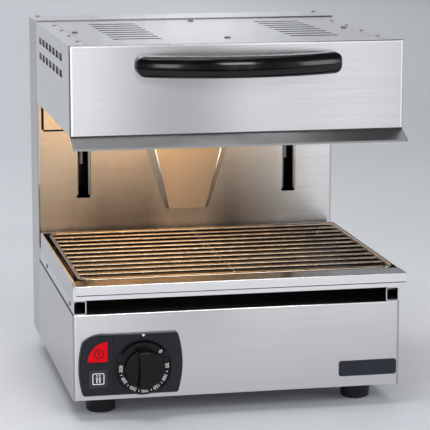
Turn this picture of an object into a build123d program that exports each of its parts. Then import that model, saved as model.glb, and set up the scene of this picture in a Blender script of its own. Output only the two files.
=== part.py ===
"""A countertop rise-and-fall grill: a low base on four feet with a drip pan and a wire grid on two
rails, a column at the back, and a heated hood that slides up and down the front of the column.

Millimetres. X runs to the right, Y to the back and Z up. The origin is on the table, under the middle
of the space between the front of the lift handle and the back of the column.
"""

import os

from build123d import *

os.makedirs("parts", exist_ok=True)

# ---------------------------------------------------------------- driving dimensions
body_width = 450.0
body_depth = 450.0  # from the base's front panel to the back edge of the column
column_depth = 82.0
foot_height = 30.0
base_height = 117.0
rail_height = 19.5
rail_width = 18.0
pan_height = 26.5  # from the pan's underside to its rim
grill_height = 192.0  # from the pan's rim to the hood's lower edge, hood up
hood_height = 119.0
hood_travel = 130.0
handle_reach = 46.0

sheet = 1.2  # stainless sheet
bend = 1.0  # outer radius where a sheet is folded
arm_plate = 4.0
fit = 0.3  # clearance between pieces that don't touch
shaft_fit = 0.05  # radial clearance of a running fit
hood_gap = 0.8  # between the hood and the column's face
cover_step = 1.6  # the column's cover stands this much above the hood
edge_return = 3.0  # the narrow folds at the front edges of the side panels

# ---------------------------------------------------------------- levels and planes
half_width = body_width / 2
inner_half = half_width - sheet
front_y = (handle_reach - body_depth) / 2
rear_y = front_y + body_depth
column_y = rear_y - column_depth
base_bottom = foot_height
base_top = base_bottom + base_height
rail_top = base_top + rail_height
pan_rim = rail_top + pan_height
hood_bottom = pan_rim + grill_height
hood_top = hood_bottom + hood_height
cover_top = hood_top + cover_step
hood_rear = column_y - hood_gap


def block(x_span, y_span, z_span, mode=Mode.ADD):
    """A box between two limits on each axis."""
    middle = [(low + high) / 2 for low, high in (x_span, y_span, z_span)]
    with Locations(tuple(middle)):
        Box(x_span[1] - x_span[0], y_span[1] - y_span[0], z_span[1] - z_span[0], mode=mode)


def folded(points, side, thickness=sheet):
    """The closed section of a sheet that is folded along a line of points."""
    with BuildLine() as section:
        Polyline(*points)
        offset(amount=thickness, side=side, kind=Kind.INTERSECTION)
    return section.edges()


def edge_near(part, axis, point):
    """The edge along an axis that lies nearest to a point."""
    return part.edges().filter_by(axis).sort_by_distance(point)[0]


def facing_front(x, y, z):
    """A plane that looks out of the front of the machine."""
    return Plane(origin=(x, y, z), x_dir=(1, 0, 0), z_dir=(0, -1, 0))


def facing_up(x, y, z):
    return Plane(origin=(x, y, z))


# ================================================================ BASE
# ---------------------------------------------------------------- side panels of the base
for side_name, side in (("left", -1), ("right", 1)):
    with BuildPart() as base_side:
        with BuildSketch(Plane.XY.offset(base_bottom)):
            make_face(
                folded(
                    [
                        (side * (half_width - edge_return), front_y),
                        (side * half_width, front_y),
                        (side * half_width, column_y - fit),
                    ],
                    Side.RIGHT if side < 0 else Side.LEFT,
                )
            )
        extrude(amount=base_height)
        fillet(edge_near(base_side, Axis.Z, (side * half_width, front_y, base_top)), bend)
    base_side.part.label = f"base_side_{side_name}"
    export_step(base_side.part, f"parts/base_side_{side_name}.step")

# ---------------------------------------------------------------- where the controls sit on the front
knob_inset = 93.7  # from the base's left side
knob_height = 43.9  # above the base's lower edge
knob_x = knob_inset - half_width
knob_z = base_bottom + knob_height
shaft_radius = 3.0
neck_radius = 5.0
lens_radius = 27.4
lens_to_knob = (48.0, 9.6)
lens_corner_x = knob_x - lens_to_knob[0]
lens_corner_z = knob_z + lens_to_knob[1]
lamp_radius = 7.0
lamp_offset = 11.3  # from the lens's square corner, on both axes
lamp_x = lens_corner_x - lamp_offset
lamp_z = lens_corner_z + lamp_offset

# ---------------------------------------------------------------- front panel
with BuildPart() as base_front_panel:
    block(
        (edge_return - half_width, half_width - edge_return),
        (front_y, front_y + sheet),
        (base_bottom, base_top),
    )
    fillet(edge_near(base_front_panel, Axis.X, (0, front_y, base_top)), bend)
    with BuildSketch(facing_front(0, front_y + sheet, 0)):
        with Locations((knob_x, knob_z)):
            Circle(neck_radius + fit)
        with Locations((lamp_x, lamp_z)):
            Circle(lamp_radius + fit)
    extrude(amount=sheet, mode=Mode.SUBTRACT)
base_front_panel.part.label = "base_front_panel"
export_step(base_front_panel.part, "parts/base_front_panel.step")

# ---------------------------------------------------------------- feet and their screws
foot_top_radius = 22.5
foot_sole_radius = 19.5
foot_edge = 2.5
foot_side_inset = 45.0
foot_inset = 60.0
foot_x = half_width - foot_side_inset
foot_screw_radius = 3.0
foot_screw_head = 6.0
foot_recess = 12.0
foot_recess_radius = 7.0
foot_screw_grip = 8.0  # thread above the base floor
foot_places = {
    "front_left": (-foot_x, front_y + foot_inset),
    "front_right": (foot_x, front_y + foot_inset),
    "rear_left": (-foot_x, rear_y - foot_inset),
    "rear_right": (foot_x, rear_y - foot_inset),
}
for place, (x, y) in foot_places.items():
    with BuildPart() as foot:
        with BuildSketch(facing_front(x, y, 0)):
            with BuildLine():
                Polyline(
                    (foot_screw_radius + fit, foot_recess),
                    (foot_recess_radius, foot_recess),
                    (foot_recess_radius, 0),
                    (foot_sole_radius, 0),
                    (foot_top_radius, foot_height),
                    (foot_screw_radius + fit, foot_height),
                    close=True,
                )
            make_face()
        revolve(axis=Axis((x, y, 0), (0, 0, 1)))
        chamfer(foot.edges().group_by(Axis.Z)[0].sort_by(SortBy.RADIUS)[-1], foot_edge)
    foot.part.label = f"foot_{place}"
    export_step(foot.part, f"parts/foot_{place}.step")

with BuildPart() as foot_screws:
    for x, y in foot_places.values():
        with BuildSketch(facing_up(x, y, foot_recess - foot_screw_head / 2)):
            Circle(foot_screw_head)
        extrude(amount=foot_screw_head / 2)
        with BuildSketch(facing_up(x, y, foot_recess)):
            Circle(foot_screw_radius)
        extrude(amount=base_bottom + sheet + foot_screw_grip - foot_recess)
foot_screws.part.label = "foot_screws"
export_step(foot_screws.part, "parts/foot_screws.step")

# ---------------------------------------------------------------- floor and deck
floor_flange = 12.0
back_inset = 20.0  # the back panel stands forward of the column's back edge
back_y = rear_y - back_inset  # the back panel's outer face
back_inner_y = back_y - sheet
with BuildPart() as base_floor:
    with BuildSketch(facing_front(0, back_inner_y, 0)):
        make_face(
            folded(
                [
                    (-inner_half, base_bottom + floor_flange),
                    (-inner_half, base_bottom),
                    (inner_half, base_bottom),
                    (inner_half, base_bottom + floor_flange),
                ],
                Side.LEFT,
            )
        )
    extrude(amount=back_inner_y - front_y - edge_return)
    with Locations(*[(x, y, base_bottom + sheet) for x, y in foot_places.values()]):
        Hole(foot_screw_radius + fit)
base_floor.part.label = "base_floor"
export_step(base_floor.part, "parts/base_floor.step")

deck_rear = column_y + sheet
with BuildPart() as base_deck:
    with BuildSketch(Plane.YZ):
        make_face(
            folded(
                [
                    (front_y + sheet, base_top - floor_flange),
                    (front_y + sheet, base_top),
                    (deck_rear, base_top),
                    (deck_rear, base_top - floor_flange),
                ],
                Side.RIGHT,
            )
        )
    extrude(amount=inner_half - edge_return, both=True)
base_deck.part.label = "base_deck"
export_step(base_deck.part, "parts/base_deck.step")

# ---------------------------------------------------------------- rails that carry the pan
rail_wall = 1.5
rail_corner = 3.0
rail_inset = 1.0
rail_setback = 0.5
rail_outer_x = half_width - rail_inset
rail_front = front_y + rail_setback
rail_screw_radius = 2.0
rail_screw_head = 3.5
rail_screw_length = 7.5
rail_screw_inset = 32.0
rail_screw_rear = 88.0  # from the column's face
rail_screw_y = [front_y + rail_screw_inset, column_y - rail_screw_rear]
rail_middle_z = base_top + rail_height / 2
for side_name, side in (("left", -1), ("right", 1)):
    rail_x = side * (rail_outer_x - rail_width / 2)
    with BuildPart() as rail:
        with BuildSketch(facing_front(rail_x, column_y, rail_middle_z)):
            RectangleRounded(rail_width, rail_height, rail_corner)
            RectangleRounded(
                rail_width - 2 * rail_wall,
                rail_height - 2 * rail_wall,
                rail_corner - rail_wall,
                mode=Mode.SUBTRACT,
            )
        extrude(amount=column_y - rail_front)
        for y in rail_screw_y:
            face = Plane(origin=(side * rail_outer_x, y, rail_middle_z), z_dir=(-side, 0, 0))
            with BuildSketch(face):
                Circle(rail_screw_radius + shaft_fit)
            extrude(amount=rail_wall, mode=Mode.SUBTRACT)
    rail.part.label = f"rail_{side_name}"
    export_step(rail.part, f"parts/rail_{side_name}.step")

with BuildPart() as rail_screws:
    for side in (-1, 1):
        for y in rail_screw_y:
            seat = Plane(origin=(side * rail_outer_x, y, rail_middle_z), z_dir=(side, 0, 0))
            with BuildSketch(seat):
                Circle(rail_screw_head)
            extrude(amount=half_width - rail_outer_x)
            with BuildSketch(seat):
                Circle(rail_screw_radius)
            extrude(amount=-rail_screw_length)
rail_screws.part.label = "rail_screws"
export_step(rail_screws.part, "parts/rail_screws.step")

# ---------------------------------------------------------------- control bezel, lens and plates
bezel_depth = 7.0
bezel_reach = (81.1, 47.1)  # to the left and right of the knob's axis
bezel_rise = (36.9, 45.2)  # below and above it
bezel_left = knob_x - bezel_reach[0]
bezel_right = knob_x + bezel_reach[1]
bezel_bottom = knob_z - bezel_rise[0]
bezel_top = knob_z + bezel_rise[1]
bezel_bulge = (4.8, 6.4)  # how far its left and right sides bow out
bezel_corner = 3.0
shoulder_width = 34.0  # the long round at the upper left
shoulder_drop = 10.2
shoulder_crown = (12.2, 2.4)  # where that round passes its corner
bezel_edge = 1.2
bezel_face = front_y - bezel_depth
crease_offset = 40.4
crease_x = knob_x - crease_offset
crease_width = 1.0
crease_depth = 0.8
neck_room = 2.0
icon_size = (25.0, 25.0)
icon_offset = (12.9, 13.2)
icon_x = lens_corner_x - icon_offset[0]
icon_z = knob_z - icon_offset[1]
icon_depth = 1.0
icon_proud = 0.4
icon_corner = 2.0
lens_proud = 1.4
lens_edge = 1.0
lens_gap = 2 * fit

with BuildPart() as control_bezel:
    with BuildSketch(facing_front(0, front_y, 0)) as bezel_outline:
        with BuildLine():
            base_line = Line((bezel_left, bezel_bottom), (bezel_right, bezel_bottom))
            right_line = ThreePointArc(
                base_line @ 1,
                (bezel_right + bezel_bulge[1], (bezel_bottom + bezel_top) / 2),
                (bezel_right, bezel_top),
            )
            top_line = Line(right_line @ 1, (bezel_left + shoulder_width, bezel_top))
            shoulder_line = ThreePointArc(
                top_line @ 1,
                (bezel_left + shoulder_crown[0], bezel_top - shoulder_crown[1]),
                (bezel_left, bezel_top - shoulder_drop),
            )
            ThreePointArc(
                shoulder_line @ 1,
                (bezel_left - bezel_bulge[0], (bezel_bottom + bezel_top) / 2),
                base_line @ 0,
            )
        make_face()
        fillet(bezel_outline.vertices().group_by(Axis.Z)[0], bezel_corner)
    extrude(amount=bezel_depth)
    chamfer(control_bezel.faces().sort_by(Axis.Y)[0].outer_wire().edges(), bezel_edge)
    # shaft hole
    with BuildSketch(facing_front(knob_x, front_y, knob_z)):
        Circle(neck_radius + neck_room)
    extrude(amount=bezel_depth, mode=Mode.SUBTRACT)
    # quarter-round window of the lens
    with BuildSketch(facing_front(lens_corner_x + fit, front_y, lens_corner_z - fit)):
        with BuildLine():
            Line((0, 0), (0, lens_radius + lens_gap))
            CenterArc((0, 0), lens_radius + lens_gap, 90, 90)
            Line((-lens_radius - lens_gap, 0), (0, 0))
        make_face()
    extrude(amount=bezel_depth, mode=Mode.SUBTRACT)
    # seat of the pictogram plate
    with BuildSketch(facing_front(icon_x, bezel_face + icon_depth, icon_z)):
        RectangleRounded(icon_size[0] + 2 * fit, icon_size[1] + 2 * fit, icon_corner)
    extrude(amount=icon_depth, mode=Mode.SUBTRACT)
    # groove between the lamp's half and the knob's half
    block(
        (crease_x - crease_width / 2, crease_x + crease_width / 2),
        (bezel_face, bezel_face + crease_depth),
        (bezel_bottom, bezel_top),
        mode=Mode.SUBTRACT,
    )
control_bezel.part.label = "control_bezel"
export_step(control_bezel.part, "parts/control_bezel.step")

with BuildPart() as pilot_lens:
    with BuildSketch(facing_front(lens_corner_x, front_y, lens_corner_z)):
        with BuildLine():
            Line((0, 0), (0, lens_radius))
            CenterArc((0, 0), lens_radius, 90, 90)
            Line((-lens_radius, 0), (0, 0))
        make_face()
    extrude(amount=bezel_depth + lens_proud)
    fillet(pilot_lens.faces().sort_by(Axis.Y)[0].edges(), lens_edge)
pilot_lens.part.label = "pilot_lens"
export_step(pilot_lens.part, "parts/pilot_lens.step")

with BuildPart() as pictogram_plate:
    with BuildSketch(facing_front(icon_x, bezel_face + icon_depth, icon_z)):
        RectangleRounded(*icon_size, icon_corner)
    extrude(amount=icon_depth + icon_proud)
pictogram_plate.part.label = "pictogram_plate"
export_step(pictogram_plate.part, "parts/pictogram_plate.step")

badge_size = (81.0, 21.5)
badge_margin = (3.6, 14.6)
badge_right = half_width - badge_margin[0]
badge_bottom = base_bottom + badge_margin[1]
badge_thickness = 1.5
badge_corner = 3.5
badge_edge = 0.5
with BuildPart() as badge_plate:
    with BuildSketch(
        facing_front(badge_right - badge_size[0] / 2, front_y, badge_bottom + badge_size[1] / 2)
    ):
        RectangleRounded(*badge_size, badge_corner)
    extrude(amount=badge_thickness)
    chamfer(badge_plate.faces().sort_by(Axis.Y)[0].edges(), badge_edge)
badge_plate.part.label = "badge_plate"
export_step(badge_plate.part, "parts/badge_plate.step")

# ---------------------------------------------------------------- what sits behind the front panel
lamp_collar = 2.5
lamp_collar_depth = 2.0
lamp_length = 28.0
with BuildPart() as pilot_lamp:
    with BuildSketch(facing_front(lamp_x, front_y, lamp_z)):
        Circle(lamp_radius)
    extrude(amount=-lamp_length)
    with BuildSketch(facing_front(lamp_x, front_y + sheet, lamp_z)):
        Circle(lamp_radius + lamp_collar)
    extrude(amount=-lamp_collar_depth)
pilot_lamp.part.label = "pilot_lamp"
export_step(pilot_lamp.part, "parts/pilot_lamp.step")

regulator_size = 44.0
regulator_depth = 30.0
regulator_corner = 4.0
neck_length = 4.2  # in front of the panel
shaft_in_regulator = 14.0
tab_size = (6.0, 8.0, 0.8)
tab_pitch = 12.0
with BuildPart() as energy_regulator:
    with BuildSketch(facing_front(knob_x, front_y + sheet, knob_z)):
        RectangleRounded(regulator_size, regulator_size, regulator_corner)
    extrude(amount=-regulator_depth)
    with BuildSketch(facing_front(knob_x, front_y + sheet, knob_z)):
        Circle(neck_radius)
    extrude(amount=sheet + neck_length)
    with BuildSketch(facing_front(knob_x, bezel_face, knob_z)):
        Circle(shaft_radius + shaft_fit)
    extrude(amount=-(bezel_depth + sheet + shaft_in_regulator), mode=Mode.SUBTRACT)
    # terminal tabs
    with Locations((knob_x, front_y + sheet + regulator_depth + tab_size[1] / 2, knob_z)):
        with Locations((-tab_pitch, 0, 0), (0, 0, 0), (tab_pitch, 0, 0)):
            Box(*tab_size)
energy_regulator.part.label = "energy_regulator"
export_step(energy_regulator.part, "parts/energy_regulator.step")

# ---------------------------------------------------------------- control knob and its shaft
skirt_radius = 37.5
skirt_thickness = 5.0
skirt_rim = 1.5
skirt_bevel = 3.0
cap_radius = 27.0
cap_height = 11.0
cap_draft = 1.5
cap_edge = 1.5
grip_width = 20.0
grip_waist = 14.0
grip_length = 51.0
grip_crown = 1.5  # how far its ends bow out
grip_height = 23.0
grip_corner = 2.5
grip_edge = 2.0
knob_clearance = 0.5
knob_back = bezel_face - knob_clearance
knob_bore = 14.0
with BuildPart() as control_knob:
    with BuildSketch(Plane(origin=(knob_x, knob_back, knob_z), x_dir=(1, 0, 0), z_dir=(0, 0, 1))):
        with BuildLine():
            Polyline(
                (0, 0),
                (skirt_radius, 0),
                (skirt_radius, -skirt_rim),
                (skirt_radius - skirt_bevel, -skirt_thickness),
                (cap_radius, -skirt_thickness),
                (cap_radius - cap_draft, -cap_height),
                (0, -cap_height),
                close=True,
            )
        make_face()
    revolve(axis=Axis((knob_x, knob_back, knob_z), (0, 1, 0)))
    fillet(control_knob.faces().sort_by(Axis.Y)[0].edges(), cap_edge)
    with BuildSketch(facing_front(knob_x, knob_back, knob_z)) as grip:
        with BuildLine():
            right_flank = ThreePointArc(
                (grip_width / 2, grip_crown - grip_length / 2),
                (grip_waist / 2, 0),
                (grip_width / 2, grip_length / 2 - grip_crown),
            )
            grip_head = ThreePointArc(
                right_flank @ 1,
                (0, grip_length / 2),
                (-grip_width / 2, grip_length / 2 - grip_crown),
            )
            left_flank = ThreePointArc(
                grip_head @ 1,
                (-grip_waist / 2, 0),
                (-grip_width / 2, grip_crown - grip_length / 2),
            )
            ThreePointArc(left_flank @ 1, (0, -grip_length / 2), right_flank @ 0)
        make_face()
        fillet(grip.vertices(), grip_corner)
    extrude(amount=grip_height)
    fillet(control_knob.faces().sort_by(Axis.Y)[0].edges(), grip_edge)
    with BuildSketch(facing_front(knob_x, knob_back, knob_z)):
        Circle(shaft_radius + shaft_fit)
    extrude(amount=knob_bore, mode=Mode.SUBTRACT)
control_knob.part.label = "control_knob"
export_step(control_knob.part, "parts/control_knob.step")

shaft_end_gap = 1.0
with BuildPart() as knob_shaft:
    shaft_rear = front_y + sheet + shaft_in_regulator - shaft_end_gap
    with BuildSketch(facing_front(knob_x, shaft_rear, knob_z)):
        Circle(shaft_radius)
    extrude(amount=shaft_rear - knob_back + knob_bore)
knob_shaft.part.label = "knob_shaft"
export_step(knob_shaft.part, "parts/knob_shaft.step")

# ================================================================ COLUMN
# ---------------------------------------------------------------- side panels, back and top cover
rear_return = 8.0
for side_name, side in (("left", -1), ("right", 1)):
    with BuildPart() as column_side:
        with BuildSketch(Plane.XY.offset(base_bottom)):
            make_face(
                folded(
                    [
                        (side * (half_width - edge_return), column_y),
                        (side * half_width, column_y),
                        (side * half_width, rear_y),
                        (side * (half_width - rear_return), rear_y),
                    ],
                    Side.RIGHT if side < 0 else Side.LEFT,
                )
            )
        extrude(amount=cover_top - sheet - base_bottom)
        for y in (column_y, rear_y):
            fillet(edge_near(column_side, Axis.Z, (side * half_width, y, cover_top)), bend)
        # the front fold stops above the floor's turned-up edge
        block(
            sorted((side * (half_width - edge_return), side * inner_half)),
            (column_y, column_y + sheet),
            (base_bottom, base_bottom + floor_flange + fit),
            mode=Mode.SUBTRACT,
        )
    column_side.part.label = f"column_side_{side_name}"
    export_step(column_side.part, f"parts/column_side_{side_name}.step")

back_flange = 15.0
vent_slot = (5.0, 46.0)
vent_pitch = 14.0
vent_count = 9
vent_inset = 62.0
back_vent_z = [base_bottom + vent_inset, hood_top - vent_inset]
gland_inset = 55.0
gland_height = 62.0
gland_x = half_width - gland_inset
gland_z = base_bottom + gland_height
gland_radius = 9.0
with BuildPart() as column_back:
    with BuildSketch(Plane.XY.offset(base_bottom)):
        make_face(
            folded(
                [
                    (-inner_half, back_y + back_flange),
                    (-inner_half, back_inner_y),
                    (inner_half, back_inner_y),
                    (inner_half, back_y + back_flange),
                ],
                Side.LEFT,
            )
        )
    extrude(amount=cover_top - sheet - base_bottom)
    with BuildSketch(facing_front(0, back_y, 0)):
        for z in back_vent_z:
            with Locations((0, z)):
                with GridLocations(vent_pitch, 0, vent_count, 1):
                    SlotOverall(vent_slot[1], vent_slot[0], rotation=90)
        with Locations((gland_x, gland_z)):
            Circle(gland_radius + fit)
    extrude(amount=sheet, mode=Mode.SUBTRACT)
column_back.part.label = "column_back"
export_step(column_back.part, "parts/column_back.step")

cover_lip = 10.0
cover_screw_inset = (11.5, 9.0)
cover_screw_x = half_width - cover_screw_inset[0]
cover_screw_y = rear_y - cover_screw_inset[1]
cover_screw_radius = 1.8
cover_screw_length = 8.0
small_head = 3.5
small_head_height = 1.4
head_taper = 20.0
with BuildPart() as column_top_cover:
    block(
        (-half_width, half_width),
        (column_y, rear_y),
        (cover_top - sheet, cover_top),
    )
    fillet(column_top_cover.faces().sort_by(Axis.Z)[-1].edges(), bend)
    block(
        (edge_return - half_width, half_width - edge_return),
        (column_y, column_y + sheet),
        (cover_top - cover_lip, cover_top - sheet),
    )
    with Locations((-cover_screw_x, cover_screw_y, cover_top), (cover_screw_x, cover_screw_y, cover_top)):
        Hole(cover_screw_radius + shaft_fit)
column_top_cover.part.label = "column_top_cover"
export_step(column_top_cover.part, "parts/column_top_cover.step")

with BuildPart() as cover_screws:
    for x in (-cover_screw_x, cover_screw_x):
        with BuildSketch(facing_up(x, cover_screw_y, cover_top)):
            Circle(small_head)
        extrude(amount=small_head_height, taper=head_taper)
        with BuildSketch(facing_up(x, cover_screw_y, cover_top)):
            Circle(cover_screw_radius)
        extrude(amount=-cover_screw_length)
cover_screws.part.label = "cover_screws"
export_step(cover_screws.part, "parts/cover_screws.step")

# ---------------------------------------------------------------- splash plate with the two arm slots
slot_x = 157.0
slot_width = 15.0
slot_flange = 2.7
slot_flange_depth = 10.0
arm_head = 34.0  # the lift arms end below the hood's top
slot_room = 10.0  # above the lift arms
slot_above_pan = 47.0
slot_bottom = pan_rim + slot_above_pan
slot_foot = 5.0  # the slot is wider below its flanges
slot_top = hood_top - arm_head + slot_room
splash_top = cover_top - cover_lip
with BuildPart() as splash_plate:
    block(
        (edge_return - half_width, half_width - edge_return),
        (column_y, column_y + sheet),
        (base_top, splash_top),
    )
    for x in (-slot_x, slot_x):
        block(
            (x - slot_width / 2 - slot_flange, x + slot_width / 2 + slot_flange),
            (column_y, column_y + sheet),
            (slot_bottom, slot_top),
            mode=Mode.SUBTRACT,
        )
        for edge in (-1, 1):
            flange_x = x + edge * (slot_width + slot_flange) / 2
            block(
                (flange_x - slot_flange / 2, flange_x + slot_flange / 2),
                (column_y, column_y + slot_flange_depth),
                (slot_bottom + slot_foot, slot_top),
            )
splash_plate.part.label = "splash_plate"
export_step(splash_plate.part, "parts/splash_plate.step")

# ---------------------------------------------------------------- the tapered cover in the middle of it
wedge_above_pan = 26.5
wedge_height = 131.0
wedge_bottom = pan_rim + wedge_above_pan
wedge_top = wedge_bottom + wedge_height
wedge_foot_half = 33.0
wedge_lean = 0.325  # sideways per mm of height
wedge_foot_depth = 4.5
wedge_slope = 0.09  # forwards per mm of height
with BuildPart() as wire_cover:
    for height in (0, wedge_height):
        half = wedge_foot_half + wedge_lean * height
        depth = wedge_foot_depth + wedge_slope * height
        with BuildSketch(facing_up(0, column_y, wedge_bottom + height)):
            with BuildLine():
                Polyline((-half, 0), (half, 0), (half - depth, -depth), (depth - half, -depth), close=True)
            make_face()
    loft(ruled=True)
    offset(amount=-sheet, openings=wire_cover.faces().sort_by(Axis.Y)[-1], kind=Kind.INTERSECTION)
wire_cover.part.label = "wire_cover"
export_step(wire_cover.part, "parts/wire_cover.step")

# ---------------------------------------------------------------- guide rods and their brackets
rod_radius = 6.0
rod_to_slot = 21.0
rod_to_splash = 36.0
rod_x = slot_x + rod_to_slot
rod_y = column_y + rod_to_splash
bracket_sheet = 2.0
lower_bracket_height = 5.0  # above the base
upper_bracket_drop = 24.0  # below the hood's top
bracket_inset = 10.0
lower_bracket_z = base_top + lower_bracket_height  # its upper face
upper_bracket_z = hood_top - upper_bracket_drop  # its lower face
bracket_half = half_width - bracket_inset
bracket_flange = 24.0
bracket_setback = 14.0
bracket_front = column_y + bracket_setback
rod_thread = 20.0
rod_screw_radius = 2.5
rod_screw_head = 5.0
rod_screw_head_height = 3.0
rod_screw_length = 16.0
spring_x = 95.0
for bracket_name, z, away in (("lower", lower_bracket_z, -1), ("upper", upper_bracket_z, 1)):
    with BuildPart() as rod_bracket:
        with BuildSketch(Plane.YZ):
            make_face(
                folded(
                    [
                        (back_inner_y, z + away * bracket_flange),
                        (back_inner_y, z),
                        (bracket_front, z),
                    ],
                    Side.RIGHT if away > 0 else Side.LEFT,
                    bracket_sheet,
                )
            )
        extrude(amount=bracket_half, both=True)
        for x in (-rod_x, rod_x):
            with Locations((x, rod_y, z + away * bracket_sheet)):
                Hole(rod_screw_radius + fit)
    rod_bracket.part.label = f"rod_bracket_{bracket_name}"
    export_step(rod_bracket.part, f"parts/rod_bracket_{bracket_name}.step")

for side_name, side in (("left", -1), ("right", 1)):
    with BuildPart() as guide_rod:
        with BuildSketch(facing_up(side * rod_x, rod_y, lower_bracket_z)):
            Circle(rod_radius)
        extrude(amount=upper_bracket_z - lower_bracket_z)
        for z in (lower_bracket_z, upper_bracket_z - rod_thread):
            with BuildSketch(facing_up(side * rod_x, rod_y, z)):
                Circle(rod_screw_radius + shaft_fit)
            extrude(amount=rod_thread, mode=Mode.SUBTRACT)
    guide_rod.part.label = f"guide_rod_{side_name}"
    export_step(guide_rod.part, f"parts/guide_rod_{side_name}.step")

with BuildPart() as rod_screws:
    for side in (-1, 1):
        for z, inward in (
            (lower_bracket_z - bracket_sheet, 1),
            (upper_bracket_z + bracket_sheet, -1),
        ):
            with BuildSketch(facing_up(side * rod_x, rod_y, z)):
                Circle(rod_screw_head)
            extrude(amount=-rod_screw_head_height * inward)
            with BuildSketch(facing_up(side * rod_x, rod_y, z)):
                Circle(rod_screw_radius)
            extrude(amount=rod_screw_length * inward)
rod_screws.part.label = "rod_screws"
export_step(rod_screws.part, "parts/rod_screws.step")

# ---------------------------------------------------------------- mains connection in the column's foot
block_size = (62.0, 22.0, 20.0)
block_corner = 2.0
block_inset = (105.0, 30.0)  # from the side and from the back panel
block_place = (half_width - block_inset[0], back_inner_y - block_inset[1])
clamp_radius = 2.6
clamp_depth = 9.0
clamp_pitch = (15.0, 11.0)
clamp_count = (4, 2)
with BuildPart() as terminal_block:
    with BuildSketch(facing_up(*block_place, base_bottom + sheet)):
        RectangleRounded(block_size[0], block_size[1], block_corner)
    extrude(amount=block_size[2])
    with BuildSketch(facing_up(*block_place, base_bottom + sheet + block_size[2])):
        with GridLocations(*clamp_pitch, *clamp_count):
            Circle(clamp_radius)
    extrude(amount=-clamp_depth, mode=Mode.SUBTRACT)
terminal_block.part.label = "terminal_block"
export_step(terminal_block.part, "parts/terminal_block.step")

gland_bore = 5.0
gland_hex_radius = 13.0
gland_hex_height = 6.0
gland_cap_radius = 12.0
gland_cap_height = 10.0
gland_cap_taper = 12.0
gland_thread = 14.0
locknut_height = 4.0
with BuildPart() as cable_gland:
    with BuildSketch(facing_front(gland_x, back_y, gland_z)):
        RegularPolygon(gland_hex_radius, 6)
    extrude(amount=-gland_hex_height)
    with BuildSketch(facing_front(gland_x, back_y + gland_hex_height, gland_z)):
        Circle(gland_cap_radius)
    extrude(amount=-gland_cap_height, taper=gland_cap_taper)
    with BuildSketch(facing_front(gland_x, back_y, gland_z)):
        Circle(gland_radius)
    extrude(amount=gland_thread)
    with BuildSketch(facing_front(gland_x, back_y, gland_z)):
        Circle(gland_bore)
    extrude(amount=gland_hex_height + gland_cap_height + gland_thread, both=True, mode=Mode.SUBTRACT)
cable_gland.part.label = "cable_gland"
export_step(cable_gland.part, "parts/cable_gland.step")

with BuildPart() as gland_locknut:
    with BuildSketch(facing_front(gland_x, back_inner_y, gland_z)):
        RegularPolygon(gland_hex_radius, 6)
        Circle(gland_radius + shaft_fit, mode=Mode.SUBTRACT)
    extrude(amount=locknut_height)
gland_locknut.part.label = "gland_locknut"
export_step(gland_locknut.part, "parts/gland_locknut.step")

# ================================================================ PAN AND GRID
pan_side_gap = 0.5
pan_rear_gap = 20.0  # to the splash plate
pan_half = half_width - pan_side_gap
pan_rear = column_y - pan_rear_gap
pan_lip = 33.0
pan_lip_height = 13.0
pan_lip_hem = 6.0
pan_hem = 4.0
with BuildPart() as grill_pan:
    # floor and walls
    block((-pan_half, pan_half), (front_y, pan_rear), (rail_top, pan_rim))
    block(
        (sheet - pan_half, pan_half - sheet),
        (front_y + sheet, pan_rear - sheet),
        (rail_top + sheet, pan_rim),
        mode=Mode.SUBTRACT,
    )
    # hem folded into the top of the side and rear walls
    for side in (-1, 1):
        edge_x = sorted((side * (pan_half - sheet), side * (pan_half - 2 * sheet)))
        block(edge_x, (front_y + sheet, pan_rear - sheet), (pan_rim - pan_hem, pan_rim))
    block(
        (sheet - pan_half, pan_half - sheet),
        (pan_rear - 2 * sheet, pan_rear - sheet),
        (pan_rim - pan_hem, pan_rim),
    )
    # flat ledge at the front, turned down into a pull lip
    with BuildSketch(Plane.YZ):
        make_face(
            folded(
                [
                    (front_y + sheet, pan_rim),
                    (front_y - pan_lip, pan_rim),
                    (front_y - pan_lip, pan_rim - pan_lip_height),
                    (front_y - pan_lip + pan_lip_hem, pan_rim - pan_lip_height),
                ],
                Side.LEFT,
            )
        )
    extrude(amount=pan_half, both=True)
    for z in (pan_rim, pan_rim - pan_lip_height):
        fillet(edge_near(grill_pan, Axis.X, (0, front_y - pan_lip, z)), bend)
grill_pan.part.label = "grill_pan"
export_step(grill_pan.part, "parts/grill_pan.step")

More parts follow.
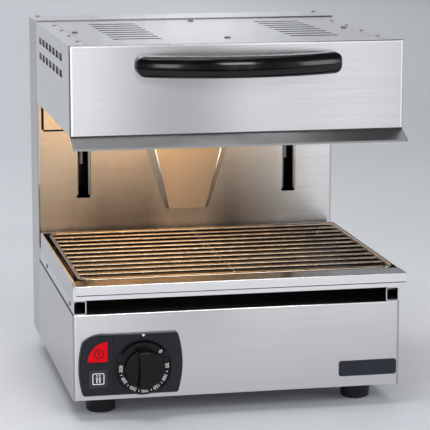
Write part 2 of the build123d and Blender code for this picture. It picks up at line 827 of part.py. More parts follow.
frame_rod = 3.0
wire_rod = 2.1
support_rod = 2.5
weld_depth = 0.8  # how far the wires sink into the support rod
wire_count = 10
grid_side_gap = 9.8  # from the pan's outside to the frame's middle
grid_middle = 3.0  # the grid lies a little to the right in the pan
grid_front_gap = 14.0
grid_rear_gap = 9.0
grid_half = pan_half - grid_side_gap
grid_front = front_y + grid_front_gap
grid_rear = pan_rear - grid_rear_gap
grid_corner = 14.0
grid_sink = 2.0  # the frame's middle below the pan's rim
grid_z = pan_rim - grid_sink
front_space = 36.0  # the wires are evenly spaced from the back, so the front space is wider
wire_pitch = (grid_rear - grid_front - front_space) / wire_count
leg_inset = 45.0
with BuildPart() as wire_grid:
    with BuildLine(Plane.XY.offset(grid_z)) as grid_frame:
        FilletPolyline(
            (grid_middle - grid_half, grid_front),
            (grid_middle + grid_half, grid_front),
            (grid_middle + grid_half, grid_rear),
            (grid_middle - grid_half, grid_rear),
            radius=grid_corner,
            close=True,
        )
    with BuildSketch(Plane(origin=grid_frame.line @ 0, z_dir=grid_frame.line % 0)):
        Circle(frame_rod)
    sweep()
    for number in range(1, wire_count + 1):
        wire_start = (grid_middle - grid_half, grid_rear - number * wire_pitch, grid_z)
        with BuildSketch(Plane(origin=wire_start, z_dir=(1, 0, 0))):
            Circle(wire_rod)
        extrude(amount=2 * grid_half)
    # support rod under the wires
    with BuildSketch(facing_front(grid_middle, grid_rear, grid_z - wire_rod - support_rod + weld_depth)):
        Circle(support_rod)
    extrude(amount=grid_rear - grid_front)
    # legs that stand on the pan's floor
    for x in (grid_middle - grid_half, grid_middle + grid_half):
        for y in (grid_front + leg_inset, grid_rear - leg_inset):
            with BuildSketch(facing_up(x, y, rail_top + sheet)):
                Circle(support_rod)
            extrude(amount=grid_z - rail_top - sheet)
wire_grid.part.label = "wire_grid"
export_step(wire_grid.part, "parts/wire_grid.step")

# ================================================================ HOOD
# ---------------------------------------------------------------- front panel, a shallow tray
panel_return = 14.0
panel_shadow = 1.3  # the gap behind the front panel's face
side_front = front_y + sheet + panel_shadow
handle_width = 277.0
handle_height = 28.5
handle_drop = 27.5  # the handle's middle below the hood's top
handle_screw_inset = 13.0
handle_z = hood_top - handle_drop
handle_foot_x = handle_width / 2 - handle_screw_inset
handle_screw_radius = 3.0
with BuildPart() as hood_front_panel:
    block((-half_width, half_width), (front_y, front_y + sheet), (hood_bottom, hood_top))
    fillet(hood_front_panel.faces().sort_by(Axis.Y)[0].edges(), bend)
    with BuildSketch(facing_front(0, front_y + panel_return, (hood_bottom + hood_top) / 2)):
        Rectangle(2 * inner_half, hood_height - 2 * sheet)
        Rectangle(2 * (inner_half - sheet), hood_height - 4 * sheet, mode=Mode.SUBTRACT)
    extrude(amount=panel_return - sheet)
    with BuildSketch(facing_front(0, front_y + sheet, handle_z)):
        with Locations((-handle_foot_x, 0), (handle_foot_x, 0)):
            Circle(handle_screw_radius + fit)
    extrude(amount=sheet, mode=Mode.SUBTRACT)
hood_front_panel.part.label = "hood_front_panel"
export_step(hood_front_panel.part, "parts/hood_front_panel.step")

# ---------------------------------------------------------------- visor under the front panel
visor_reach = 27.0
visor_drop = 12.0
visor_hem = 2.6
visor_gap = 0.2  # behind the front panel's sheet
visor_step = 0.6
with BuildPart() as visor:
    with BuildSketch(Plane.YZ):
        make_face(
            folded(
                [
                    (front_y + panel_return, hood_bottom + sheet),
                    (front_y + sheet + visor_gap, hood_bottom + sheet),
                    (front_y + sheet + visor_gap, hood_bottom),
                    (front_y, hood_bottom - visor_step),
                    (front_y - visor_reach, hood_bottom - visor_drop),
                    (front_y - visor_reach, hood_bottom - visor_drop - visor_hem),
                ],
                Side.LEFT,
            )
        )
    extrude(amount=half_width, both=True)
    # its flange fits between the hood's side panels
    for side in (-1, 1):
        block(
            sorted((side * (inner_half - fit), side * half_width)),
            (front_y + sheet, front_y + panel_return),
            (hood_bottom - visor_step, hood_bottom + sheet),
            mode=Mode.SUBTRACT,
        )
visor.part.label = "visor"
export_step(visor.part, "parts/visor.step")

# ---------------------------------------------------------------- side panels with their air slots
top_fold = 25.0  # the side panels fold over onto the top
foot_fold = 9.0
air_slot = (27.0, 10.0)
air_slot_pitch = 37.3
air_slot_count = 7
air_slot_shift = 13.0  # behind the middle of the hood's depth
air_slot_drop = 22.5
air_slot_row = 22.0
hood_middle = (side_front + hood_rear) / 2
air_slot_middle = hood_middle + air_slot_shift
air_slot_z = [hood_top - air_slot_drop, hood_top - air_slot_drop - air_slot_row]
strap_width = 12.0  # of the top plate's edge strips under the folds
rivet_radius = 1.6
rivet_head = 2.8
rivet_head_height = 0.8
rivet_tail = 2.0  # below the strap
rivet_taper = 30.0
rivet_to_seam = 6.0
rivet_inset = 60.0  # the first, from the front
rivet_rear = 65.0  # the last, from the hood's back edge
rivet_count = 4
rivet_x = half_width - top_fold + rivet_to_seam
rivet_pitch = (hood_rear - rivet_rear - front_y - rivet_inset) / (rivet_count - 1)
rivet_y = [front_y + rivet_inset + number * rivet_pitch for number in range(rivet_count)]
for side_name, side in (("left", -1), ("right", 1)):
    with BuildPart() as hood_side:
        with BuildSketch(facing_front(0, hood_rear, 0)):
            make_face(
                folded(
                    [
                        (side * (half_width - top_fold), hood_top),
                        (side * half_width, hood_top),
                        (side * half_width, hood_bottom),
                        (side * (half_width - foot_fold), hood_bottom),
                    ],
                    Side.LEFT if side < 0 else Side.RIGHT,
                )
            )
        extrude(amount=hood_rear - side_front)
        for z in (hood_bottom, hood_top):
            fillet(edge_near(hood_side, Axis.Y, (side * half_width, hood_middle, z)), bend)
        # the lower fold starts behind the visor's flange
        block(
            sorted((side * inner_half, side * (half_width - foot_fold))),
            (side_front, front_y + panel_return + fit),
            (hood_bottom, hood_bottom + sheet),
            mode=Mode.SUBTRACT,
        )
        for z in air_slot_z:
            slot_row = (side * half_width, air_slot_middle, z)
            with BuildSketch(Plane(origin=slot_row, x_dir=(0, 1, 0), z_dir=(-side, 0, 0))):
                with GridLocations(air_slot_pitch, 0, air_slot_count, 1):
                    Rectangle(*air_slot)
            extrude(amount=sheet, mode=Mode.SUBTRACT)
        with Locations(*[(side * rivet_x, y, hood_top) for y in rivet_y]):
            Hole(rivet_radius + shaft_fit, depth=2 * sheet)
    hood_side.part.label = f"hood_side_{side_name}"
    export_step(hood_side.part, f"parts/hood_side_{side_name}.step")

# ---------------------------------------------------------------- top plate with two groups of slots
seam_gap = 0.5
plate_half = half_width - top_fold - seam_gap
strap_front_gap = 1.0
strap_rear_gap = 12.0
strap_front = front_y + panel_return + strap_front_gap
strap_rear = hood_rear - strap_rear_gap
top_slot = (66.0, 5.0)
top_slot_x = 122.0
top_slot_count = 8
top_slot_pitch = 31.7
top_slot_shift = 6.0  # behind the middle of the hood's depth
top_slot_middle = hood_middle + top_slot_shift
stud_radius = 2.0
stud_head = 4.5
stud_head_height = 1.5
spacer_radius = 4.0
stud_front_inset = 73.0
stud_rear_inset = 32.0
stud_side_inset = 33.0
stud_side_x = half_width - stud_side_inset
stud_places = [
    (0.0, front_y + stud_front_inset),
    (0.0, hood_rear - stud_rear_inset),
    (-stud_side_x, hood_middle),
    (stud_side_x, hood_middle),
]
with BuildPart() as hood_top_plate:
    block((-plate_half, plate_half), (side_front, hood_rear), (hood_top - sheet, hood_top))
    for side in (-1, 1):
        strap_x = sorted((side * (plate_half - sheet), side * (plate_half + strap_width)))
        block(strap_x, (strap_front, strap_rear), (hood_top - 2 * sheet, hood_top - sheet))
    with BuildSketch(facing_up(0, top_slot_middle, hood_top)):
        for x in (-top_slot_x, top_slot_x):
            with Locations((x, 0)):
                with GridLocations(0, top_slot_pitch, 1, top_slot_count):
                    Rectangle(*top_slot)
    extrude(amount=-sheet, mode=Mode.SUBTRACT)
    with Locations(*[(x, y, hood_top) for x, y in stud_places]):
        Hole(stud_radius + shaft_fit)
    with Locations(*[(side * rivet_x, y, hood_top) for y in rivet_y for side in (-1, 1)]):
        Hole(rivet_radius + shaft_fit)
hood_top_plate.part.label = "hood_top_plate"
export_step(hood_top_plate.part, "parts/hood_top_plate.step")

with BuildPart() as hood_rivets:
    for side in (-1, 1):
        for y in rivet_y:
            with BuildSketch(facing_up(side * rivet_x, y, hood_top)):
                Circle(rivet_head)
            extrude(amount=rivet_head_height, taper=rivet_taper)
            with BuildSketch(facing_up(side * rivet_x, y, hood_top)):
                Circle(rivet_radius)
            extrude(amount=-2 * sheet - rivet_tail)
hood_rivets.part.label = "hood_rivets"
export_step(hood_rivets.part, "parts/hood_rivets.step")

# ---------------------------------------------------------------- rear wall, drawn down into an apron
wall_gap = 3.0  # between the rear wall and the splash plate
wall_back = column_y - wall_gap
wall_front = wall_back - sheet
apron_inset = 9.5
apron_half = half_width - apron_inset
apron_drop = 43.0
wedge_room = 7.0
notch_half = wedge_foot_half + wedge_lean * wedge_height + wedge_room
notch_top = wedge_top + hood_travel + wedge_room
arm_foot = 8.0  # above the hood's lower edge
arm_bottom = hood_bottom + arm_foot
arm_top = hood_top - arm_head
arm_notch_gap = 0.5
with BuildPart() as hood_rear_wall:
    block((-inner_half, inner_half), (wall_front, wall_back), (hood_bottom + sheet, hood_top - sheet))
    block(
        (-apron_half, apron_half),
        (wall_front, wall_back),
        (hood_bottom - apron_drop, hood_bottom + sheet),
    )
    block(
        (-notch_half, notch_half),
        (wall_front, wall_back),
        (hood_bottom - apron_drop, notch_top),
        mode=Mode.SUBTRACT,
    )
    for x in (-slot_x, slot_x):
        block(
            (x - arm_plate / 2 - arm_notch_gap, x + arm_plate / 2 + arm_notch_gap),
            (wall_front, wall_back),
            (arm_bottom - arm_notch_gap, arm_top + arm_notch_gap),
            mode=Mode.SUBTRACT,
        )
hood_rear_wall.part.label = "hood_rear_wall"
export_step(hood_rear_wall.part, "parts/hood_rear_wall.step")

# ---------------------------------------------------------------- lift arms that run on the guide rods
arm_flange = 24.0
arm_flange_sheet = 3.0
carriage_width = 32.0
carriage_depth = 30.0
carriage_height = 120.0
carriage_drop = 55.0  # below the hood's lower edge
tail_length = 42.0
carriage_bottom = hood_bottom - carriage_drop
carriage_top = carriage_bottom + carriage_height
arm_tail = carriage_bottom - tail_length
arm_tail_depth = 14.0
arm_knee = 8.0
arm_knee_y = column_y + arm_knee  # where the plate starts to widen downwards
bush_radius = 8.0
bush_length = 20.0
carriage_front = rod_y - carriage_depth / 2
for side_name, side in (("left", -1), ("right", 1)):
    arm_x = side * slot_x
    with BuildPart() as lift_arm:
        # the plate that reaches through the slot, with a tail below the carriage
        with BuildSketch(Plane.YZ.offset(arm_x)):
            with BuildLine():
                Polyline(
                    (wall_front - arm_flange_sheet, arm_bottom),
                    (arm_knee_y, arm_bottom),
                    (carriage_front, carriage_bottom),
                    (carriage_front, arm_tail),
                    (carriage_front + arm_tail_depth, arm_tail),
                    (carriage_front + carriage_depth, carriage_bottom),
                    (carriage_front + carriage_depth, carriage_top),
                    (carriage_front, arm_top),
                    (wall_front - arm_flange_sheet, arm_top),
                    close=True,
                )
            make_face()
        extrude(amount=arm_plate / 2, both=True)
        # flange against the inside of the hood's rear wall
        block(
            sorted((arm_x, arm_x - side * arm_flange)),
            (wall_front - arm_flange_sheet, wall_front),
            (arm_bottom, arm_top),
        )
        # carriage beside the plate
        block(
            sorted((arm_x, arm_x + side * (arm_plate / 2 + carriage_width))),
            (carriage_front, carriage_front + carriage_depth),
            (carriage_bottom, carriage_top),
        )
        with BuildSketch(facing_up(side * rod_x, rod_y, carriage_bottom)):
            Circle(bush_radius)
        extrude(amount=carriage_top - carriage_bottom, mode=Mode.SUBTRACT)
    lift_arm.part.label = f"lift_arm_{side_name}"
    export_step(lift_arm.part, f"parts/lift_arm_{side_name}.step")

with BuildPart() as slide_bushes:
    for side in (-1, 1):
        for z in (carriage_bottom, carriage_top - bush_length):
            with BuildSketch(facing_up(side * rod_x, rod_y, z)):
                Circle(bush_radius - shaft_fit)
                Circle(rod_radius + shaft_fit, mode=Mode.SUBTRACT)
            extrude(amount=bush_length)
slide_bushes.part.label = "slide_bushes"
export_step(slide_bushes.part, "parts/slide_bushes.step")

# ---------------------------------------------------------------- bar between the arms, and its springs
bar_height = 26.0
bar_thickness = 6.0
bar_half = slot_x - arm_plate / 2
with BuildPart() as tie_bar:
    block(
        (-bar_half, bar_half),
        (rod_y - bar_thickness / 2, rod_y + bar_thickness / 2),
        (carriage_bottom, carriage_bottom + bar_height),
    )
tie_bar.part.label = "tie_bar"
export_step(tie_bar.part, "parts/tie_bar.step")

spring_radius = 9.0
spring_wire = 2.0
spring_hook = 9.0
with BuildPart() as balance_springs:
    for x in (-spring_x, spring_x):
        low = carriage_bottom + bar_height
        with BuildSketch(facing_up(x, rod_y, low)):
            Circle(spring_wire)
        extrude(amount=spring_hook)
        with BuildSketch(facing_up(x, rod_y, upper_bracket_z)):
            Circle(spring_wire)
        extrude(amount=-spring_hook)
        with BuildSketch(facing_up(x, rod_y, low + spring_hook)):
            Circle(spring_radius)
        extrude(amount=upper_bracket_z - low - 2 * spring_hook)
balance_springs.part.label = "balance_springs"
export_step(balance_springs.part, "parts/balance_springs.step")

# ---------------------------------------------------------------- lift handle, a flat bow
bow_half = handle_width / 2
bow_end_reach = 10.0  # how far the outer curve stands out at its ends
bow_thickness = 13.0
bow_shoulder = 6.0
foot_length = 20.0
foot_draft = 2.0  # the feet narrow towards the panel
end_round = 13.5  # seen from the front
bow_edge = 4.0
screw_depth = 10.0
screw_room = 1.0
inner_half_bow = bow_half - foot_length - foot_draft
inner_reach = handle_reach - bow_thickness
bow_end_thickness = 7.5
inner_end_reach = bow_end_reach - bow_end_thickness
with BuildPart() as lift_handle:
    with BuildSketch(Plane.XY.offset(handle_z - handle_height / 2)) as bow:
        with BuildLine():
            outer = ThreePointArc(
                (-bow_half, front_y - bow_end_reach),
                (0, front_y - handle_reach),
                (bow_half, front_y - bow_end_reach),
            )
            right_foot = Polyline(
                outer @ 1,
                (bow_half, front_y),
                (bow_half - foot_length, front_y),
                (inner_half_bow, front_y - inner_end_reach),
            )
            inner = ThreePointArc(
                right_foot @ 1,
                (0, front_y - inner_reach),
                (-inner_half_bow, front_y - inner_end_reach),
            )
            Polyline(
                inner @ 1,
                (foot_length - bow_half, front_y),
                (-bow_half, front_y),
                outer @ 0,
            )
        make_face()
        fillet(bow.vertices().sort_by(Axis.Y)[:2], bow_shoulder)
    extrude(amount=handle_height)
    bow_face = lift_handle.faces().filter_by(GeomType.CYLINDER).sort_by(Axis.Y)[0]
    fillet(bow_face.edges().filter_by(GeomType.CIRCLE), bow_edge)
    with BuildSketch(facing_front(0, front_y, handle_z)):
        RectangleRounded(handle_width, handle_height, end_round)
    extrude(amount=handle_reach, mode=Mode.INTERSECT)
    with BuildSketch(facing_front(0, front_y, handle_z)):
        with Locations((-handle_foot_x, 0), (handle_foot_x, 0)):
            Circle(handle_screw_radius + shaft_fit)
    extrude(amount=screw_depth + screw_room, mode=Mode.SUBTRACT)
lift_handle.part.label = "lift_handle"
export_step(lift_handle.part, "parts/lift_handle.step")

handle_screw_head = 5.5
handle_screw_head_height = 3.5
with BuildPart() as handle_screws:
    for x in (-handle_foot_x, handle_foot_x):
        with BuildSketch(facing_front(x, front_y + sheet, handle_z)):
            Circle(handle_screw_head)
        extrude(amount=-handle_screw_head_height)
        with BuildSketch(facing_front(x, front_y + sheet, handle_z)):
            Circle(handle_screw_radius)
        extrude(amount=sheet + screw_depth)
handle_screws.part.label = "handle_screws"
export_step(handle_screws.part, "parts/handle_screws.step")

# ---------------------------------------------------------------- reflector, insulation and its cover
reflector_front_gap = 20.0
reflector_rear_gap = 12.8  # to the arms' flanges
reflector_mouth_inset = 12.0
reflector_flare = 14.0
reflector_height = 40.0
reflector_front = front_y + reflector_front_gap
reflector_rear = wall_front - arm_flange_sheet - reflector_rear_gap
reflector_mouth_half = half_width - reflector_mouth_inset
reflector_top_half = reflector_mouth_half - reflector_flare
reflector_foot = hood_bottom + sheet  # its feet rest on the side panels' lower folds
reflector_top = hood_bottom + reflector_height
element_radius = 4.0
element_height = 23.0
element_z = hood_bottom + element_height
element_count = 3
element_pitch = 90.0
element_leg = 22.0  # half the space between an element's two runs
element_middle = (reflector_front + reflector_rear) / 2
element_end_inset = 11.0
element_bend_inset = 57.0
element_end = half_width - element_end_inset
element_bend = half_width - element_bend_inset
element_y = [element_middle + (number - 1) * element_pitch for number in range(element_count)]
with BuildPart() as reflector:
    with BuildSketch(facing_front(0, reflector_rear, 0)):
        make_face(
            folded(
                [
                    (-(inner_half - fit), reflector_foot),
                    (-reflector_mouth_half, reflector_foot),
                    (-reflector_top_half, reflector_top),
                    (reflector_top_half, reflector_top),
                    (reflector_mouth_half, reflector_foot),
                    (inner_half - fit, reflector_foot),
                ],
                Side.LEFT,
            )
        )
    extrude(amount=reflector_rear - reflector_front)
    for y in element_y:
        with BuildSketch(Plane(origin=(-inner_half, y, element_z), x_dir=(0, 1, 0), z_dir=(1, 0, 0))):
            with Locations((-element_leg, 0), (element_leg, 0)):
                Circle(element_radius + fit)
        extrude(amount=inner_half - reflector_top_half + sheet, mode=Mode.SUBTRACT)
reflector.part.label = "reflector"
export_step(reflector.part, "parts/reflector.step")

slab_height = 25.0
slab_end_gap = 4.0
shield_overhang = 2.0
slab_top = reflector_top + sheet + slab_height
slab_half = reflector_top_half - shield_overhang
with BuildPart() as insulation_slab:
    block(
        (-slab_half, slab_half),
        (reflector_front + slab_end_gap, reflector_rear - slab_end_gap),
        (reflector_top + sheet, slab_top),
    )
insulation_slab.part.label = "insulation_slab"
export_step(insulation_slab.part, "parts/insulation_slab.step")

with BuildPart() as heat_shield:
    block(
        (-reflector_top_half, reflector_top_half),
        (reflector_front, reflector_rear),
        (slab_top, slab_top + sheet),
    )
    with Locations(*[(x, y, slab_top + sheet) for x, y in stud_places]):
        Hole(stud_radius + shaft_fit)
heat_shield.part.label = "heat_shield"
export_step(heat_shield.part, "parts/heat_shield.step")

with BuildPart() as hood_studs:
    for x, y in stud_places:
        with BuildSketch(facing_up(x, y, hood_top)):
            Circle(stud_head)
        extrude(amount=stud_head_height, taper=head_taper)
        with BuildSketch(facing_up(x, y, hood_top)):
            Circle(stud_radius)
        extrude(amount=-(hood_top - slab_top - sheet))
        with BuildSketch(facing_up(x, y, hood_top - sheet)):
            Circle(spacer_radius)
        extrude(amount=-(hood_top - slab_top - 2 * sheet))
hood_studs.part.label = "hood_studs"
export_step(hood_studs.part, "parts/hood_studs.step")

# ---------------------------------------------------------------- heating elements and their supports
for number, y in enumerate(element_y, 1):
    with BuildPart() as heating_element:
        with BuildLine(Plane.XY.offset(element_z)) as hairpin:
            front_run = Line((-element_end, y - element_leg), (element_bend, y - element_leg))
            bend = ThreePointArc(
                front_run @ 1,
                (element_bend + element_leg, y),
                (element_bend, y + element_leg),
            )
            Line(bend @ 1, (-element_end, y + element_leg))
        with BuildSketch(Plane(origin=hairpin.line @ 0, z_dir=hairpin.line % 0)):
            Circle(element_radius)
        sweep()
    heating_element.part.label = f"heating_element_{number}"
    export_step(heating_element.part, f"parts/heating_element_{number}.step")

comb_x = 120.0
comb_thickness = 2.0
comb_inset = 12.0
comb_margin = 3.0
comb_bottom = element_z - element_radius - comb_margin
with BuildPart() as element_combs:
    for x in (-comb_x, comb_x):
        comb_side = x - comb_thickness / 2
        block(
            (comb_side, comb_side + comb_thickness),
            (reflector_front + comb_inset, reflector_rear - comb_inset),
            (comb_bottom, reflector_top),
        )
        for y in element_y:
            with BuildSketch(Plane(origin=(comb_side, y, element_z), x_dir=(0, 1, 0), z_dir=(1, 0, 0))):
                with Locations((-element_leg, 0), (element_leg, 0)):
                    Circle(element_radius + fit)
            extrude(amount=comb_thickness, mode=Mode.SUBTRACT)
element_combs.part.label = "element_combs"
export_step(element_combs.part, "parts/element_combs.step")
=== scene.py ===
"""The looks of the rise-and-fall grill: materials, fine detail, floor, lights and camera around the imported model."""

import math

import bmesh
import bpy
from mathutils import Matrix, Vector


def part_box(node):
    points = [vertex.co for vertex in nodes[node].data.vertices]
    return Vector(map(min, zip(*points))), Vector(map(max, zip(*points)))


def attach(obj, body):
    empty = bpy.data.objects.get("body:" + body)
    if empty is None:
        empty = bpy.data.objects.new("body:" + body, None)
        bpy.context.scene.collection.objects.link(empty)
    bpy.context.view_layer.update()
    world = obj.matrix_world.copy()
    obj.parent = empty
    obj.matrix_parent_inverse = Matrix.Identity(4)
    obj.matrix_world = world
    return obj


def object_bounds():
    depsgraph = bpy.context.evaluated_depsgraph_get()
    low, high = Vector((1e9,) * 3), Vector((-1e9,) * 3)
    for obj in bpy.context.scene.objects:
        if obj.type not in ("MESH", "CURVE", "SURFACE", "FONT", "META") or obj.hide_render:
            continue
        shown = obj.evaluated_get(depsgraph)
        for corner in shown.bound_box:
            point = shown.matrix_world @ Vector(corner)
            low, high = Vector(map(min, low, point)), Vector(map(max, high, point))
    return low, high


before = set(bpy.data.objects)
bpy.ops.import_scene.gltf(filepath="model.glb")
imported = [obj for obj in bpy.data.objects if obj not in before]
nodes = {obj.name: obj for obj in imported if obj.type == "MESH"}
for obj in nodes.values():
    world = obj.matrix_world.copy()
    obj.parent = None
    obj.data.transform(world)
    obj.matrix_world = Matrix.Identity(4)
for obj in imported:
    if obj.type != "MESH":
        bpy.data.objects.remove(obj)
cad_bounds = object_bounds()
MM = 0.001

# ---------------------------------------------------------------- the photograph's camera
CAMERA_PLACE = (-0.5730, -2.8243, 0.7669)
CAMERA_TURN = (79.597, 0.0, -11.65)  # degrees
CAMERA_LENS = 171.33
CAMERA_SENSOR = 36.0
CAMERA_NEAR = 0.05  # nothing nearer than this is drawn

camera_data = bpy.data.cameras.new("camera")
camera_data.lens = CAMERA_LENS
camera_data.sensor_width = CAMERA_SENSOR
camera_data.sensor_fit = "HORIZONTAL"
camera_data.clip_start = CAMERA_NEAR
camera = bpy.data.objects.new("camera", camera_data)
camera.location = CAMERA_PLACE
camera.rotation_euler = [math.radians(angle) for angle in CAMERA_TURN]
bpy.context.scene.collection.objects.link(camera)
bpy.context.scene.camera = camera

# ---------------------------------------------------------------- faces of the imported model, in metres
HALF = cad_bounds[1][0]
FRONT_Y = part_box("base_front_panel")[0].y
HOOD_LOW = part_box("hood_front_panel")[0].z
HOOD_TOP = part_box("hood_front_panel")[1].z
BASE_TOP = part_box("base_front_panel")[1].z
HOOD_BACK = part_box("hood_side_left")[1].y
COVER_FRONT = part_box("column_top_cover")[0].y
INNER_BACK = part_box("column_back")[0].y + 0.6 * MM  # just past the back panel's inner face
DEEP = 1.0  # further than the grill reaches

# ---------------------------------------------------------------- patterns and finishes
# A range is (low, high, what low turns into, what high turns into).
STEEL_DARK = (0.55, 0.55, 0.558)
STEEL_LIGHT = (0.62, 0.62, 0.628)
STEEL_ROUGH = (0.13, 0.17)
FINE_GRAIN = (900.0, 5.0)  # noise scales across and along the brushed lines
BROAD_GRAIN = (30.0, 2.2)  # the same of the wide bands
LINES_SHARE = (0.2, 0.8, 0.0, 0.7)
BANDS_SHARE = (0.25, 0.75, 0.0, 0.3)
GRAIN_DEPTH = 0.0002
ACROSS_LEVEL = (0.0, 0.06, 1.0)  # across a horizontal grain, on a front, a side or a top
ACROSS_UPRIGHT = (0.7, 0.7, 0.0)  # across an upright grain

MOTTLE_BUMP = 0.05
CLOUD_SCALE = 35.0  # of the faint patches on plastic and rubber
SKIN_DEPTH = 0.0001
COAT_ROUGH = 0.06
PATCHES = (0.3, 0.7)  # the noise values between which a patchy finish changes

# The painted warm glow of the elements and the painted shade on the splash plate and its tapered cover, by metres from
# the object's middle or from the counter.
GLOW_PAINT_WARM = (0.84, 0.68, 0.5)
GLOW_PAINT_CLEAR = (0.97, 0.96, 0.95)
SHADE_PAINT_COLOUR = (0.19, 0.155, 0.13)
GLOW_PAINT_CLOUD = 9.0
GLOW_PAINT_RAGGED = 0.03  # how far the cloud shifts the painted glow's edge
GLOW_PAINT_EDGE = (0.05, 0.21, 0.0, 1.0)  # from warm to clear towards the right
SHADE_PAINT_LEFT = 0.03  # the painted shade's middle lies this far to the left
SHADE_PAINT_SIDES = (0.1, 0.17, 1.0, 0.2)
SHADE_PAINT_HEIGHT = (0.195, 0.32, 0.85, 0.0)
SHADE_PAINT_COVER = (0.025, 0.06, 0.3, 1.0)  # the painted shade is weaker in the middle, a painted reflection below the tapered cover

# The drip pan, in metres.
PAN_HALF = 0.2238
PAN_FRONT = -0.2
PAN_INSIDE = ((-PAN_HALF, PAN_FRONT, 0.166), (PAN_HALF, 0.147, 0.1915))  # darkened and roughened inside the pan
INSIDE_DARK = (0.02, 0.016, 0.013)
INSIDE_LIGHT = (0.06, 0.048, 0.038)
INSIDE_CLOUD = 14.0
INSIDE_ROUGH = 0.38


class Graph:
    """Short ways to add nodes to a node tree. A value is a socket, a number or a colour."""

    def __init__(self, tree):
        self.tree = tree

    def add(self, kind, **settings):
        node = self.tree.nodes.new(kind)
        for key, value in settings.items():
            setattr(node, key, value)
        return node

    def feed(self, target, value):
        """Link a socket to an input, or set the input to a number or a colour."""
        if isinstance(value, bpy.types.NodeSocket):
            self.tree.links.new(value, target)
        else:
            target.default_value = (*value, 1) if isinstance(value, tuple) else value

    def calc(self, operation, *values):
        """The result of a Math node."""
        node = self.add("ShaderNodeMath", operation=operation)
        for target, value in zip(node.inputs, values):
            self.feed(target, value)
        return node.outputs[0]

    def span(self, value, low, high, to_low, to_high):
        """A value taken from one range of numbers to another."""
        node = self.add("ShaderNodeMapRange")
        for target, number in zip(node.inputs, (value, low, high, to_low, to_high)):
            self.feed(target, number)
        return node.outputs[0]

    def ramp(self, value, stops):
        """A colour from (place, colour) stops, with places from 0 to 1."""
        node = self.add("ShaderNodeValToRGB")
        elements = node.color_ramp.elements
        for index, (place, colour) in enumerate(stops):
            element = elements[index] if index < 2 else elements.new(place)  # a new ramp has two
            element.position = place
            element.color = (*colour, 1)
        self.feed(node.inputs[0], value)
        return node.outputs[0]

    def axes(self, vector):
        """The x, y and z of a vector."""
        parts = self.add("ShaderNodeSeparateXYZ")
        self.feed(parts.inputs[0], vector)
        return tuple(parts.outputs)


class Paint(Graph):
    """A material with its Principled shader. Its patterns follow the object's coordinates in metres."""

    def __init__(self, name, **values):
        self.material = bpy.data.materials.new(name)
        self.material.use_nodes = True
        super().__init__(self.material.node_tree)
        self.shader = next(node for node in self.tree.nodes if node.type == "BSDF_PRINCIPLED")
        self.shade(**values)

    def shade(self, **values):
        """Feed the shader's inputs, named with _ for a space, and return the material."""
        for name, value in values.items():
            self.feed(self.shader.inputs[name.replace("_", " ")], value)
        return self.material

    def place(self, scale=(1, 1, 1)):
        """Object coordinates, stretched by a scale for each axis."""
        mapping = self.add("ShaderNodeMapping")
        mapping.inputs["Scale"].default_value = scale
        self.feed(mapping.inputs["Vector"], self.add("ShaderNodeTexCoord").outputs["Object"])
        return mapping.outputs["Vector"]

    def noise(self, scale, detail=2.0, rough=0.5):
        """Noise with a list of scales for the three axes, or with one scale for all."""
        node = self.add("ShaderNodeTexNoise")
        self.feed(node.inputs["Scale"], 1.0)
        self.feed(node.inputs["Detail"], detail)
        self.feed(node.inputs["Roughness"], rough)
        self.feed(node.inputs["Vector"], self.place(scale if isinstance(scale, list) else [scale] * 3))
        return node.outputs["Fac"]

    def mix(self, factor, first, second, blend_type="MIX"):
        """A colour between two, or with MULTIPLY the first one shaded by the second."""
        node = self.add("ShaderNodeMix", data_type="RGBA", blend_type=blend_type)
        self.feed(node.inputs["Factor"], factor)
        self.feed(node.inputs["A"], first)
        self.feed(node.inputs["B"], second)
        return node.outputs["Result"]

    def within(self, low, high):
        """1 inside a box of object coordinates, 0 outside it."""
        masks = [
            self.calc("COMPARE", value, (near + far) / 2, (far - near) / 2)
            for value, near, far in zip(self.axes(self.place()), low, high)
        ]
        return self.calc("MULTIPLY", self.calc("MULTIPLY", masks[0], masks[1]), masks[2])

    def painted_glow_and_shade(self, tone):
        """Painted warm glow of the elements, clearing towards the right, with painted shade strongest in the middle and
        darker towards the bottom.
        """
        x, _, z = self.axes(self.place())
        ragged = self.calc("MULTIPLY_ADD", self.noise(GLOW_PAINT_CLOUD), GLOW_PAINT_RAGGED, x)
        warm_paint = self.mix(self.span(ragged, *GLOW_PAINT_EDGE), GLOW_PAINT_WARM, GLOW_PAINT_CLEAR)
        sides = self.span(self.calc("ABSOLUTE", self.calc("ADD", x, SHADE_PAINT_LEFT)), *SHADE_PAINT_SIDES)
        cover = self.span(self.calc("ABSOLUTE", x), *SHADE_PAINT_COVER)
        height = self.span(z, *SHADE_PAINT_HEIGHT)
        painted_shade = self.calc("MULTIPLY", self.calc("MULTIPLY", sides, cover), height)
        return self.mix(1.0, tone, self.mix(painted_shade, warm_paint, SHADE_PAINT_COLOUR), "MULTIPLY")

    def darken_inside(self, tone, finish, low, high):
        """Darken and roughen whatever lies inside a box."""
        mask = self.within(low, high)
        inside_tone = self.mix(self.noise(INSIDE_CLOUD, detail=4.0, rough=0.6), INSIDE_DARK, INSIDE_LIGHT)
        rough = self.add("ShaderNodeMix", data_type="FLOAT")
        self.feed(rough.inputs["Factor"], mask)
        self.feed(rough.inputs["A"], finish)
        self.feed(rough.inputs["B"], INSIDE_ROUGH)
        return self.mix(mask, tone, inside_tone), rough.outputs["Result"]

    def bump(self, height, strength, distance):
        """The normal of a surface with this height."""
        node = self.add("ShaderNodeBump")
        self.feed(node.inputs["Strength"], strength)
        self.feed(node.inputs["Distance"], distance)
        self.feed(node.inputs["Height"], height)
        return node.outputs["Normal"]

    def crown(self, middle, slope):
        """The normal of a face that is flat from top to bottom, shaded as crowned about the height middle."""
        offset = self.calc("SUBTRACT", self.axes(self.place())[2], middle)
        height = self.calc("MULTIPLY", self.calc("MULTIPLY", offset, offset), -slope)
        return self.bump(height, 1.0, 1.0)


